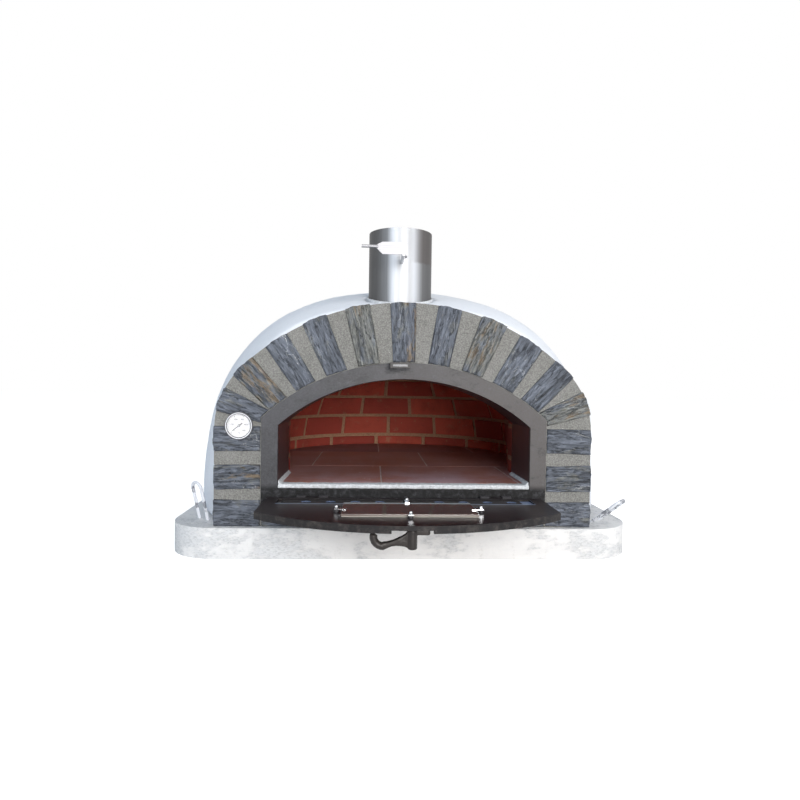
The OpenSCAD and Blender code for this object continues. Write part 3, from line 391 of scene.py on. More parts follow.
def enamel_finish():
    """Gloss black enamel, with painted bluish light in its air holes and at the channel's open
    end, and a painted highlight along the channel's near edge
    """
    f = Finish("black_enamel", shine=0.28, Coat_Roughness=0.12, Coat_Weight=0.05)
    base = colours().enamel
    wipe = f.noise((14, 60, 60), detail=6, rough=0.7, bend=0.4)
    dull = f.step(f.noise(90, detail=6, rough=0.7), 0.50, 0.66)
    x, y = f.along("X"), f.along("Y")
    low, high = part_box("air_slider")
    along = y - (low.y + high.y) / 2
    # Where the slider has left the channel's end bare, painted light shows through
    bare = f.step(x, high.x, high.x + 0.001) * f.step(x, high.x + 0.027, high.x + 0.026)
    bare = bare * f.step(abs(along), 0.024, 0.023)
    # Painted light: bluish patches in the air holes and at the channel's open end, for the light
    # seen through them
    painted_hole_light = air_holes(f, abs(x), along, full=0.27, clear=0.30).most(bare)
    # Painted highlight: a pale bluish line along the channel's near edge
    painted_edge_highlight = f.step(abs(y - (low.y - 0.001)), 0.0036, 0.0026) * f.step(abs(x), 0.284, 0.282)
    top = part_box("door_panel")[1].z
    inner = f.step(f.along("Z"), top - 0.0086, top - 0.0080)     # the door's inner face
    rim = f.attribute("edge")
    scuffed = f.step(f.noise(60, detail=8, rough=0.8), 0.46, 0.66)
    c = f.layers(
        base,
        (f.step(wipe, 0.5, 0.8) * 0.4, shade(base, 2.6)),
        (f.specks(120, 0.10, 0.10) * 0.5, (0.3, 0.3, 0.3)),
        (dull * 0.12, shade(base, 4.0)),
        (painted_hole_light * inner * 0.9, (0.16, 0.22, 0.36)),
        (painted_edge_highlight * inner * 0.85, (0.24, 0.30, 0.42)),
        (rim, f.mix(scuffed, (0.005, 0.004, 0.005), (0.044, 0.038, 0.035))))
    return f.done(c, 0.24 + wipe * 0.14 + rim * 0.35, f.noise(45, detail=3), 0.0006, 0.25)


def slider_finish():
    """Blackened slider plate, with painted bluish light round its air holes"""
    f = Finish("slider_iron", shine=0.3)
    low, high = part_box("air_slider")
    broad = f.noise(18, detail=6, rough=0.7)
    across = abs(f.along("X") + (low.x + high.x) / 2)
    along = f.along("Y") - (low.y + high.y) / 2
    c = f.layers(
        f.mix(f.step(broad, 0.4, 0.7), (0.010, 0.009, 0.010), (0.026, 0.023, 0.024)),
        # Painted light: bluish patches round the air holes
        (air_holes(f, across, along, full=0.32, clear=0.42) * 0.85, (0.11, 0.15, 0.25)))
    return f.done(c, 0.50 + broad * 0.1, f.noise(120), 0.0005, 0.4)


def brick_finish():
    """Pressed fire brick: each one its own red, with dusty patches"""
    f = Finish("red_brick", shine=0.15)
    base = colours().brick
    broad = f.noise(14, detail=6, rough=0.65)
    grain = f.noise(300, detail=3, rough=0.7)
    dusty = f.step(f.noise(30, detail=8, rough=0.75) + broad * 0.3, 0.70, 0.86)
    c = f.layers(
        f.mix(f.attribute("own"), shade(base, 0.80), shade(base, 1.30, 1.45, 1.25)),
        (f.step(broad, 0.4, 0.75) * 0.5, shade(base, 0.6)),
        (dusty * 0.50, colours().joint),
        (f.step(f.noise(70, detail=8, rough=0.8), 0.57, 0.66) * 0.45, shade(base, 0.45)),
        (f.specks(75, 0.13, 0.14) * 0.6, (0.55, 0.42, 0.30)))
    return f.done(c, 0.62 + grain * 0.3, grain * 0.6 + broad, 0.0018, 0.6)


def vault_finish():
    """Cast vault in dark shades of the bricks' red, as painted shade inside the mouth, scored with
    joints that run on from the courses
    """
    f = Finish("cast_refractory", shine=0.25)
    base = colours().brick
    broad = f.noise(14, detail=6, rough=0.65)
    height = f.along("Z") + (broad - 0.5) * 0.004
    tops = [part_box(f"brick_course_{number}")[1].z for number in range(1, 5)]
    above = 0.004       # from a course's top to the middle of its joint
    lines = [f.step(abs(height - (top + above)), 0.0075, 0.0055) for top in tops]
    joint = reduce(Value.most, lines)
    # Painted shade: the bricks' red darkened, as the vault lies in shade inside the mouth
    c = f.layers(
        f.mix(f.step(broad, 0.4, 0.7), shade(base, 0.45), shade(base, 0.70)),
        (joint * 0.9, shade(colours().joint, 0.7)))
    return f.done(c, 0.75 + broad * 0.2, f.noise(120, detail=5) - joint * 1.5, 0.002, 0.7)


def joint_finish():
    """Brown fire mortar, rubbed into the joints"""
    f = Finish("fire_mortar", shine=0.2)
    base = colours().joint
    grain = f.noise(260, rough=0.75)
    c = f.mix(f.step(grain, 0.3, 0.7), shade(base, 0.7), shade(base, 1.35))
    return f.done(c, 0.88 + grain * 0.1, grain + f.noise(50, detail=5), 0.002, 0.7)


def tile_finish():
    """Fired clay hearth tile with white dust, trowel scratches and plaster crumbs; the dust is
    heavier toward the mouth, partly as painted light falling in there
    """
    f = Finish("hearth_tile", shine=0.35)
    base = colours().tile
    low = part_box("hearth_tiles")[0]
    broad = f.noise(6, detail=7, rough=0.65)
    fine = f.noise(180, rough=0.7)
    scratch = f.step(f.noise((5, 190, 1), detail=3, turn=(0, 0, 0.3)), 0.68, 0.76)
    # Heavier dust toward the mouth: partly real dust, partly painted light that falls in through
    # the mouth
    front = f.step(f.along("Y"), low.y + 0.30, low.y)
    c = f.layers(
        f.mix(f.attribute("own"), shade(base, 0.85), shade(base, 1.5, 1.5, 1.15)),
        (f.step(broad, 0.34, 0.66) * (0.25 + front * 0.55), (0.52, 0.37, 0.43)),
        (scratch * 0.25, (0.6, 0.55, 0.52)),
        (f.specks(34, 0.085, 0.45) * 0.9, (0.80, 0.76, 0.76)),
        (f.specks(85, 0.16, 0.22) * 0.7, (0.66, 0.60, 0.60)))
    return f.done(c, 0.48 + broad * 0.30, fine + broad, 0.0012, 0.5)


def steel_finish(name, base, rough, stretch, painted_reflection=0.0):
    """Brushed or drawn steel: fine lines in one direction; the pipe has a painted reflection, dark
    at its flanks, with a pale painted highlight darkened in its middle, and a brownish heat bloom
    near its top"""
    f = Finish(name, Metallic=1.0)
    line = f.noise(stretch, detail=5, rough=0.7)
    smear = f.noise(9, detail=5, rough=0.6)
    c = f.layers(
        f.mix(f.step(line, 0.3, 0.7), shade(base, 0.84), shade(base, 1.12)),
        (f.step(smear, 0.5, 0.8) * 0.3, shade(base, 0.8)))
    if painted_reflection:
        low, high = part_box("chimney_pipe")
        across = (f.along("X") - low.x) / (high.x - low.x)
        # Painted reflection: how dark the pipe is painted at each share of its width
        dark = ((0.0, 1.0), (0.14, 0.92), (0.27, 0.72), (0.37, 0.18), (0.50, 0.10), (0.66, 0.10),
                (0.84, 0.72), (1.0, 0.90))
        painted_dark_flanks = f.ramp(across + (line - 0.5) * 0.03, *[(at, (value,) * 3) for at, value in dark])
        # Painted highlight: a pale bluish streak that stands in for the reflection of the lights
        painted_highlight = f.step(across, 0.28, 0.37) * f.step(across, 0.84, 0.70)
        # Painted shade in the middle of the painted highlight, which tones down the lamp's
        # reflection there
        middle = f.step(across, 0.40, 0.48) * f.step(across, 0.70, 0.61)
        bloom = f.along("Z") + (f.noise(18, detail=3) - 0.5) * 0.02
        bloom = f.step(bloom, high.z - 0.088, high.z - 0.080) * f.step(across, 0.62, 0.80)
        c = f.layers(
            c,
            (painted_dark_flanks * painted_reflection, shade(base, 0.10)),
            (painted_highlight * 0.70, (0.58, 0.61, 0.66)),
            (middle * 0.60, shade(base, 0.35)),
            (bloom * 0.55, shade(base, 0.26, 0.22, 0.20)))
    return f.done(c, rough + line * 0.14 + smear * 0.05, line, 0.0003, 0.35)


def chrome_finish():
    """Bright plating with a few finger marks"""
    f = Finish("chrome", Metallic=1.0)
    smear = f.noise(160)
    return f.done(f.mix(smear, (0.50, 0.52, 0.55), (0.70, 0.71, 0.74)), 0.07 + smear * 0.10)


def bezel_finish():
    """Bright rim with a painted shadow as a dark line inside it and painted shade on its outer
    edge
    """
    f = Finish("bezel_chrome", Metallic=1.0)
    low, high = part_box("thermometer_bezel")
    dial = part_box("thermometer_dial")
    dx, dz = f.along("X") - (low.x + high.x) / 2, f.along("Z") - (low.z + high.z) / 2
    reach = (dx * dx + dz * dz).root()
    inner, outer = (dial[1].x - dial[0].x) / 2, (high.x - low.x) / 2
    # Painted shadow: a dark ring where the rim meets the dial, and painted shade on the rim's
    # outer edge
    line = f.step(abs(reach - inner), 0.0012, 0.0006)
    dark = line.most(f.step(reach, outer - 0.0022, outer - 0.0012))
    smear = f.noise(160)
    c = f.layers(
        f.mix(smear, (0.62, 0.63, 0.66), (0.80, 0.81, 0.84)),
        (dark * 0.9, (0.05, 0.05, 0.06)))
    return f.done(c, 0.14 + smear * 0.10 + dark * 0.3)


def glass_finish(name, tint, rough, haze, clear=1.0, painted_highlight_pane=None):
    """Clear or smoked glass with a faint haze; along a given pane's long edges, a pale painted
    highlight at the far one and a brownish line at the near one
    """
    f = Finish(name, Transmission_Weight=clear, IOR=1.5)
    smear = f.noise(26, detail=6, rough=0.7)
    c = f.mix(f.step(smear, 0.4, 0.8) * haze, tint, shade(tint, 1.5))
    if painted_highlight_pane:
        low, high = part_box(painted_highlight_pane)
        along = f.along("Y")
        c = f.layers(
            c,
            # Painted highlight: a pale line along the pane's far edge
            (f.step(along, high.y - 0.015, high.y - 0.012), (0.52, 0.57, 0.60)),
            (f.step(along, low.y + 0.010, low.y + 0.003) * 0.6, (0.36, 0.29, 0.26)))
    return f.done(c, rough + smear * haze * 0.2)


def plain_finish(name, base, rough, scale, spread=0.25, depth=0.0012, shine=0.3):
    """A cloudy, slightly rough finish for cast, sprayed and fibrous parts"""
    f = Finish(name, shine=shine)
    cloud = f.noise(scale, detail=6, rough=0.7)
    c = f.mix(f.step(cloud, 0.3, 0.7), shade(base, 1 - spread), shade(base, 1 + spread))
    return f.done(c, rough + (cloud - 0.5) * 0.15, cloud, depth, 0.6)


def loop_finish():
    """Steel rod splashed with white paint"""
    f = Finish("painted_rod", shine=0.4)
    bare = f.step(f.noise(42, detail=6, rough=0.7), 0.50, 0.58)
    c = f.mix(bare, (0.72, 0.74, 0.79), (0.30, 0.31, 0.34))
    return f.done(c, 0.7 - bare * 0.3, f.noise(90, detail=5) - bare * 0.5, 0.0015, 0.7,
                  Metallic=bare * 0.7)


def weave_finish():
    """Woven glass-fibre tape"""
    f = Finish("gasket_tape", shine=0.2)
    warp, weft = (f.node("TexWave", {"Vector": f.spot, "Scale": 260, "Distortion": 0.6},
                         bands_direction=way) for way in "XY")
    both = warp.most(weft)
    return f.done(f.mix(both, (0.34, 0.31, 0.27), (0.62, 0.60, 0.55)), 0.9 - both * 0.1,
                  both, 0.0005, 0.8)


MAKERS = {
    "paint": paint_finish, "coat": coat_finish, "sand": sand_finish, "slate": slate_finish,
    "enamel": enamel_finish, "brick": brick_finish, "joint": joint_finish, "tile": tile_finish,
    "chrome": chrome_finish, "bezel": bezel_finish, "rod": loop_finish, "gasket": weave_finish,
    "keeper": keeper_finish, "slider": slider_finish, "vault": vault_finish,
    "frame": lambda: iron_finish("frame_iron", colours().iron, 0.50, brown_and_lit_side=0.6, wear=0.75,
                                 soot=0.95, shine=0.28),
    "reveal": lambda: iron_finish("reveal_iron", (0.042, 0.029, 0.033), 0.34, wear=0.12),
    "casting": lambda: iron_finish("handle_iron", (0.011, 0.0072, 0.0060), 0.38, wear=0.5,
                                   shine=0.35),
    "hinge": lambda: iron_finish("hinge_iron", (0.030, 0.028, 0.032), 0.45),
    "pipe": lambda: steel_finish("brushed_steel", colours().steel, 0.40, (260, 260, 5),
                                 painted_reflection=0.9),
    "disc": lambda: steel_finish("disc_steel", (0.45, 0.45, 0.46), 0.30, (200, 8, 8)),
    "strap": lambda: steel_finish("strap_steel", (0.36, 0.36, 0.38), 0.46, (12, 12, 420)),
    "steel": lambda: steel_finish("turned_steel", (0.60, 0.61, 0.63), 0.26, (300, 40, 300)),
    "window": lambda: glass_finish("window_glass", colours().glass, 0.05, haze=0.45,
                                   clear=0.35, painted_highlight_pane="door_glass"),
    "lens": lambda: glass_finish("dial_glass", (0.99, 0.99, 1.0), 0.01, haze=0.05),
    "knob": lambda: plain_finish("knob_black", (0.018, 0.018, 0.020), 0.35, 90, shine=0.5),
    "crumb": lambda: plain_finish("crumbled_mortar", (0.40, 0.40, 0.39), 0.9, 60, spread=0.6,
                                  depth=0.002),
    "lime": lambda: plain_finish("white_mortar", (0.62, 0.64, 0.67), 0.86, 130, spread=0.22,
                                 depth=0.003),
    "grout": lambda: plain_finish("tile_grout", (0.58, 0.50, 0.50), 0.85, 200, depth=0.001),
    "board": lambda: plain_finish("fibre_board", (0.60, 0.55, 0.45), 0.95, 120),
    "blanket": lambda: plain_finish("fibre_blanket", (0.68, 0.65, 0.57), 0.97, 80, depth=0.004),
    "dial": lambda: plain_finish("dial_white", (0.96, 0.965, 0.97), 0.45, 50, spread=0.03,
                                 depth=0.0001),
    "ink": lambda: plain_finish("dial_ink", (0.12, 0.123, 0.135), 0.5, 200, spread=0.2,
                                depth=0.0001),
}


@cache
def finish(name):
    """The material of that name, made the first time that it is asked for."""
    return MAKERS[name]()


# ---------- modelling tools ----------

FLAT = 0.4      # degrees between faces that are one flat face
CORNER = 32     # degrees from which an edge is rounded
SHARP = 35      # degrees from which shading breaks at an edge


def only(piece):
    """Selects one object and makes it the active one."""
    bpy.ops.object.select_all(action="DESELECT")
    piece.select_set(True)
    bpy.context.view_layer.objects.active = piece


def edit(piece, *steps):
    """Runs edit-mode steps on everything in a piece's mesh."""
    only(piece)
    bpy.ops.object.mode_set(mode="EDIT")
    bpy.ops.mesh.select_all(action="SELECT")
    for step in steps:
        step()
    bpy.ops.object.mode_set(mode="OBJECT")


def smooth(piece, angle):
    only(piece)
    bpy.ops.object.shade_smooth_by_angle(angle=math.radians(angle))


def modify(piece, kind, **settings):
    """Adds a modifier, sets it up and applies it."""
    only(piece)
    made = piece.modifiers.new(kind, kind)
    for key, value in settings.items():
        setattr(made, key, value)
    bpy.ops.object.modifier_apply(modifier=made.name)


def clone(node, name):
    """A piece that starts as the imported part's own shape, as one clean skin."""
    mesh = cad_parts[node].data.copy()
    mesh.materials.clear()
    mesh.name = name
    piece = bpy.data.objects.new(name, mesh)
    bpy.context.scene.collection.objects.link(piece)
    edit(piece,
         lambda: bpy.ops.mesh.remove_doubles(threshold=0.00001),
         lambda: bpy.ops.mesh.customdata_custom_splitnormals_clear(),
         lambda: bpy.ops.mesh.dissolve_limited(angle_limit=math.radians(FLAT)))
    return piece


def settle(piece, body, slot, look, *nodes):
    """Gives a finished piece its material, its body and what it stands for."""
    piece.data.name = piece.name
    piece.data.materials.clear()
    piece.data.materials.append(finish(look))
    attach(piece, body)
    if nodes:
        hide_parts(*nodes)
    return piece


def softened(node, name, body, slot, look, width, segments=2):
    """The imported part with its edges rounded, as cast, pressed or turned parts have."""
    piece = clone(node, name)
    modify(piece, "BEVEL", width=width, segments=segments, limit_method="ANGLE",
           angle_limit=math.radians(CORNER), use_clamp_overlap=True)
    smooth(piece, SHARP)
    modify(piece, "WEIGHTED_NORMAL", keep_sharp=True)
    return settle(piece, body, slot, look, node)


def wear(look, *nodes):
    """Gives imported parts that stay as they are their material."""
    for node in nodes:
        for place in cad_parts[node].material_slots:
            place.material = finish(look)


def islands(mesh):
    """The separate shells of a mesh, as lists of vertex numbers, in a fixed order."""
    group = list(range(len(mesh.vertices)))

    def root(i):
        while group[i] != i:
            group[i] = group[group[i]]
            i = group[i]
        return i
    for edge in mesh.edges:
        a, b = root(edge.vertices[0]), root(edge.vertices[1])
        if a != b:
            group[max(a, b)] = min(a, b)
    found = {}
    for i in range(len(group)):
        found.setdefault(root(i), []).append(i)
    return list(found.values())


def own_shade(piece, rng):
    """A number of its own for each brick or tile in a piece."""
    layer = piece.data.attributes.new("own", "FLOAT", "POINT")
    for shell in islands(piece.data):
        value = rng.uniform(0, 1)
        for i in shell:
            layer.data[i].value = value


def relief(size, depth=2):
    """A cloudy texture for the Displace modifier."""
    made = bpy.data.textures.new(f"clouds_{size:g}", "CLOUDS")
    made.noise_scale, made.noise_depth = size, depth
    return made


def ripple(piece, size, height):
    """Waves of a size and a height over a piece."""
    modify(piece, "DISPLACE", texture=relief(size), strength=height, mid_level=0.5)


def moulded(node, name, voxel, passes, *waves):
    """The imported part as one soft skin, with waves over it."""
    piece = clone(node, name)
    modify(piece, "REMESH", mode="VOXEL", voxel_size=voxel, use_smooth_shade=True)
    modify(piece, "SMOOTH", factor=0.5, iterations=passes)
    for size, height in waves:
        ripple(piece, size, height)
    return piece


def join(name, parts):
    """One piece made of several."""
    only(parts[0])
    for part in parts[1:]:
        part.select_set(True)
    bpy.ops.object.join()
    parts[0].name = name
    return parts[0]


def place_in_mesh(piece):
    """Moves a piece's place, turn and size from its object into its mesh."""
    only(piece)
    bpy.ops.object.transform_apply(location=True, rotation=True, scale=True)


# ---------- operators: one for each group of pieces ----------

class OVEN_OT_slab(bpy.types.Operator):
    """Cast slab with worn edges, and its lifting loops"""
    bl_idname = "oven.slab"
    bl_label = "Slab and lifting loops"

    def execute(self, context):
        softened("base_slab", "cast_slab", "oven", "white_concrete", "paint", sizes().slab_edge, 3)
        loops = moulded("lifting_loops", "rod_loops", 0.0013, 3, (0.012, 0.0012))
        settle(loops, "oven", "loop_steel", "rod", "lifting_loops")
        return {"FINISHED"}


class OVEN_OT_coat(bpy.types.Operator):
    """Trowelled white render over the dome"""
    bl_idname = "oven.coat"
    bl_label = "White render"

    def execute(self, context):
        height = sizes().coat_relief
        coat = moulded("render_shell", "render_coat", sizes().coat_voxel, 8, (0.16, height),
                       (0.03, height * 0.3))
        settle(coat, "oven", "white_render", "coat", "render_shell")
        wear("blanket", "dome_insulation")
        return {"FINISHED"}


class OVEN_OT_slate(bpy.types.Operator):
    """Riven slate stones in their sandy mortar"""
    bl_idname = "oven.slate"
    bl_label = "Slate front"

    SQUEEZE = 0.16      # of the grain along each stone, so that it runs in long layers
    CHIPS = 0.45        # height of the chips, as a share of the layers'
    # Rust, olive and quartz of each stone, from the top of the arch down and the sill from
    # left to right, and how much more rust its right side has
    MAKE = {
        "key_stone": [(0.25, 0.35, 0.2, 0.75)],
        "arch_stones_left": [(0.30, 0.90, 0.2, -0.2), (0.05, 0.10, 0.2, 0), (0.10, 0.10, 1.0, 0),
                             (0.66, 0.60, 0.3, 0.1), (0.05, 0.15, 0.2, 0)],
        "arch_stones_right": [(0.05, 0.10, 0.3, 0), (0.45, 0.75, 0.3, 0), (0.05, 0.10, 0.4, 0),
                              (0.00, 0.00, 0.5, 0), (0.45, 0.80, 0.3, 0.2)],
        "leg_stones_left": [(0.10, 0.20, 0.8, 0), (0.45, 0.35, 0.6, 0.2), (0.00, 0.05, 0.3, 0)],
        "leg_stones_right": [(0.00, 0.05, 1.0, 0), (0.30, 0.30, 0.6, 0), (0.00, 0.10, 0.3, 0)],
        "sill_stones": [(0.10, 0.10, 0.2, 0)] * 4,
    }

    def execute(self, context):
        rng = random.Random(12)
        riven, chips = relief(0.022, depth=3), relief(0.009)
        for node, makes in self.MAKE.items():
            whole = clone(node, node + "_shape")
            edit(whole, lambda: bpy.ops.mesh.separate(type="LOOSE"))
            axis = Vector((1, 0, 0)) if node == "sill_stones" else Vector((0, 0, -1))
            stones = sorted(bpy.context.selected_objects, key=lambda o: middle(o).dot(axis))
            kind = node.replace("stones", "slate").replace("stone", "slate")
            for number, (stone, make) in enumerate(zip(stones, makes), 1):
                stone.name = f"{kind}_{number}"
                self.rive(stone, make, rng, riven, chips)
                settle(stone, "oven", "slate", "slate", node)
        wear("sand", "front_wall")
        return {"FINISHED"}

    def rive(self, stone, make, rng, riven, chips):
        """Cleaves one stone: a fine skin, layers along its length and chipped edges."""
        height = sizes().slate_relief
        modify(stone, "REMESH", mode="VOXEL", voxel_size=sizes().slate_voxel,
               use_smooth_shade=True)
        mesh = stone.data
        along = long_axis(mesh)
        shift = Vector((rng.uniform(0, 9), rng.uniform(0, 9)))
        grain = mesh.uv_layers.new(name="grain")
        for loop in mesh.loops:
            co = mesh.vertices[loop.vertex_index].co
            flat = Vector((co.x, co.z))
            across = along.x * co.z - along.y * co.x + co.y
            grain.data[loop.index].uv = Vector((flat.dot(along) * self.SQUEEZE, across)) + shift
        modify(stone, "DISPLACE", texture=riven, texture_coords="UV", uv_layer="grain",
               strength=height, mid_level=0.5)
        modify(stone, "DISPLACE", texture=chips, strength=height * self.CHIPS, mid_level=0.5)
        for loop in stone.data.uv_layers["grain"].data:
            loop.uv.x /= self.SQUEEZE
        low, high = min(v.co.x for v in mesh.vertices), max(v.co.x for v in mesh.vertices)
        for name, value, lean in zip(("rust", "olive", "quartz"), make, (make[3], 0, 0)):
            layer = stone.data.attributes.new(name, "FLOAT", "POINT")
            for v, place in zip(mesh.vertices, layer.data):
                place.value = value + lean * ((v.co.x - low) / (high - low) * 2 - 1)


def middle(piece):
    """The mean of a piece's points."""
    return sum((v.co for v in piece.data.vertices), Vector()) / len(piece.data.vertices)


def long_axis(mesh):
    """Direction in X and Z in which a flat piece is longest."""
    points = [(v.co.x, v.co.z) for v in mesh.vertices]
    mx, mz = (sum(values) / len(points) for values in zip(*points))
    xx = sum((x - mx) ** 2 for x, z in points)
    zz = sum((z - mz) ** 2 for x, z in points)
    xz = sum((x - mx) * (z - mz) for x, z in points)
    angle = 0.5 * math.atan2(2 * xz, xx - zz)
    return Vector((math.cos(angle), math.sin(angle)))


class OVEN_OT_frame(bpy.types.Operator):
    """Door frame, its reveal, keeper and hinges, and the bead of mortar round it"""
    bl_idname = "oven.frame"
    bl_label = "Door frame"

    def execute(self, context):
        for node, name, slot, look, width in (
                ("door_frame", "frame_casting", "black_iron", "frame", 0.0012),
                ("frame_reveal", "reveal_plates", "black_iron", "reveal", 0.0006),
                ("latch_keeper", "keeper_hook", "black_iron", "keeper", 0.0008),
                ("hinge_ears", "hinge_lugs", "black_iron", "hinge", 0.0008),
                ("hinge_pins", "hinge_bolts", "bare_steel", "hinge", 0.0005)):
            softened(node, name, "oven", slot, look, width)
        self.bead()
        return {"FINISHED"}

    GAP = 0.001         # from the frame's edge to the bead
    INSET = 0.0045      # of the bead behind the frame's front
    RAISED = 0.004      # of its ends above the frame's foot
    TOUCH = 0.0002      # how near the cut its end points lie

    def bead(self):
        """White mortar squeezed out round the frame: an arc, cut off and carried down."""
        low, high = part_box("door_frame")
        centre = sizes().arch_centre
        side = high.x + self.GAP
        bpy.ops.mesh.primitive_circle_add(vertices=240, radius=high.z - centre + self.GAP,
                                          location=(0, low.y + self.INSET, centre),
                                          rotation=(math.pi / 2, 0, 0))
        line = bpy.context.object
        line.name = "frame_bead"
        place_in_mesh(line)
        edit(line, *[lambda co=co, no=no: (bpy.ops.mesh.select_all(action="SELECT"),
                     bpy.ops.mesh.bisect(plane_co=co, plane_no=no, clear_outer=True))
                     for co, no in (((side, 0, 0), (1, 0, 0)), ((-side, 0, 0), (-1, 0, 0)),
                                    ((0, 0, centre), (0, 0, -1)))])
        only(line)
        for end in (-1, 1):
            for v in line.data.vertices:
                v.select = abs(v.co.x - end * side) < self.TOUCH
            bpy.ops.object.mode_set(mode="EDIT")
            bpy.ops.mesh.select_mode(type="VERT")
            drop = max(v.co.z for v in line.data.vertices if v.select) - low.z - self.RAISED
            bpy.ops.mesh.extrude_vertices_move(TRANSFORM_OT_translate={"value": (0, 0, -drop)})
            bpy.ops.mesh.select_all(action="DESELECT")
            bpy.ops.object.mode_set(mode="OBJECT")
        edit(line, lambda: bpy.ops.mesh.subdivide(number_cuts=3))
        bpy.ops.object.convert(target="CURVE")
        line.data.bevel_depth = sizes().bead
        line.data.bevel_resolution = 1
        bpy.ops.object.convert(target="MESH")
        edit(line, lambda: bpy.ops.mesh.remove_doubles(threshold=0.00005),
             lambda: bpy.ops.mesh.normals_make_consistent(inside=False))
        ripple(line, 0.010, 0.0022)
        smooth(line, 60)
        settle(line, "oven", "white_mortar", "crumb")


class OVEN_OT_hearth(bpy.types.Operator):
    """Hearth tiles with their grout, and the white strip at the front"""
    bl_idname = "oven.hearth"
    bl_label = "Hearth"

    def execute(self, context):
        tiles = softened("hearth_tiles", "clay_tiles", "oven", "hearth_tile", "tile",
                         sizes().tile_edge)
        own_shade(tiles, random.Random(5))
        self.grout(tiles)
        strip = moulded("hearth_edge_mortar", "hearth_strip", 0.0022, 2, (0.014, 0.0022))
        settle(strip, "oven", "white_mortar", "lime", "hearth_edge_mortar")
        wear("board", "hearth_insulation")
        return {"FINISHED"}

    WIDEST = 0.006      # a joint between tiles
    THICK = 0.008       # a strip of grout
    LAP = 0.0005        # of a strip under the tile on each side

    def grout(self, tiles):
        """Strips of pale grout between the tiles' edges."""
        co = [v.co for v in tiles.data.vertices]
        boxes = []
        for shell in islands(tiles.data):
            xs, ys = [co[i].x for i in shell], [co[i].y for i in shell]
            boxes.append((min(xs), max(xs), min(ys), max(ys)))
        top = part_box("hearth_tiles")[1].z - sizes().grout_sink
        widest, lap = self.WIDEST, self.LAP
        strips = []
        for a in boxes:
            for b in boxes:
                y0, y1 = max(a[2], b[2]), min(a[3], b[3])
                x0, x1 = max(a[0], b[0]), min(a[1], b[1])
                if 0 < b[0] - a[1] < widest and y1 - y0 > widest:
                    strips.append((a[1], b[0], y0 - widest / 4, y1 + widest / 4))
                if 0 < b[2] - a[3] < widest and x1 - x0 > widest:
                    strips.append((x0 - widest / 4, x1 + widest / 4, a[3], b[2]))
        parts = []
        for x0, x1, y0, y1 in strips:
            bpy.ops.mesh.primitive_cube_add(
                size=1, location=((x0 + x1) / 2, (y0 + y1) / 2, top - self.THICK / 2),
                scale=(x1 - x0 + 2 * lap, y1 - y0 + 2 * lap, self.THICK))
            part = bpy.context.object
            place_in_mesh(part)
            edit(part, lambda: bpy.ops.mesh.subdivide(number_cuts=11))
            parts.append(part)
        grout = join("hearth_grout", parts)
        ripple(grout, 0.012, 0.0006)
        smooth(grout, 60)
        settle(grout, "oven", "white_mortar", "grout")


class OVEN_OT_dome(bpy.types.Operator):
    """Brick dome with its joints, and the cast vault behind the door"""
    bl_idname = "oven.dome"
    bl_label = "Brick dome"

    def execute(self, context):
        rng = random.Random(31)
        edge = sizes().brick_edge
        for number in range(1, 8):
            course = softened(f"brick_course_{number}", f"bricks_{number}", "oven", "red_brick",
                              "brick", edge, 3)
            own_shade(course, rng)
        crown = softened("dome_crown", "crown_brick", "oven", "red_brick", "brick", edge, 3)
        own_shade(crown, rng)
        wear("joint", "dome_mortar")
        wear("vault", "mouth_vault")
        return {"FINISHED"}


class OVEN_OT_door(bpy.types.Operator):
    """Enamelled door with its window and air slider"""
    bl_idname = "oven.door"
    bl_label = "Door"

    def execute(self, context):
        for node, name, body, slot, look, width in (
                ("door_panel", "door_plate", "door", "black_enamel", "enamel", 0.0012),
                ("door_glass", "window_pane", "door", "window_glass", "window", 0.0007),
                ("clip_spacers", "clip_bosses", "door", "black_iron", "hinge", 0.0006),
                ("glass_clips", "window_clips", "door", "chrome", "chrome", 0.0004),
                ("clip_nuts", "cap_nuts", "door", "chrome", "chrome", 0.0004),
                ("air_slider", "slide_plate", "air_slide", "slider_iron", "slider", 0.0004),
                ("slider_knob", "slide_knob", "air_slide", "black_paint", "knob", 0.0012)):
            softened(node, name, body, slot, look, width)
        wear("gasket", "glass_gasket")
        plate = bpy.data.objects["door_plate"].data
        layer = plate.attributes.new("edge", "FLOAT", "FACE")
        for face, place in zip(plate.polygons, layer.data):
            place.value = float(abs(face.normal.z) < 0.5)
        return {"FINISHED"}


class OVEN_OT_handle(bpy.types.Operator):
    """Cast handle with its latch tongue"""
    bl_idname = "oven.handle"
    bl_label = "Handle"

    def execute(self, context):
        handle = moulded("door_handle", "cast_handle", sizes().handle_voxel, 7, (0.006, 0.0006))
        self.swell(handle)
        settle(handle, "handle", "black_iron", "casting", "door_handle")
        softened("handle_spindle", "spindle_bolt", "door", "bare_steel", "steel", 0.0004)
        return {"FINISHED"}

    HUB = 0.008         # from the spindle's side to where the bar begins to swell
    FULL = 0.012        # from there to its full swelling
    SWELL = 0.0014

    def swell(self, handle):
        """Thickens the hook's bar away from the hub, as the casting has it."""
        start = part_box("handle_spindle")[0].x - self.HUB
        bar = handle.vertex_groups.new(name="bar")
        for v in handle.data.vertices:
            reach = (start - v.co.x) / self.FULL
            if reach > 0:
                bar.add([v.index], min(1.0, reach), "REPLACE")
        modify(handle, "DISPLACE", vertex_group="bar", strength=self.SWELL, mid_level=0.0)


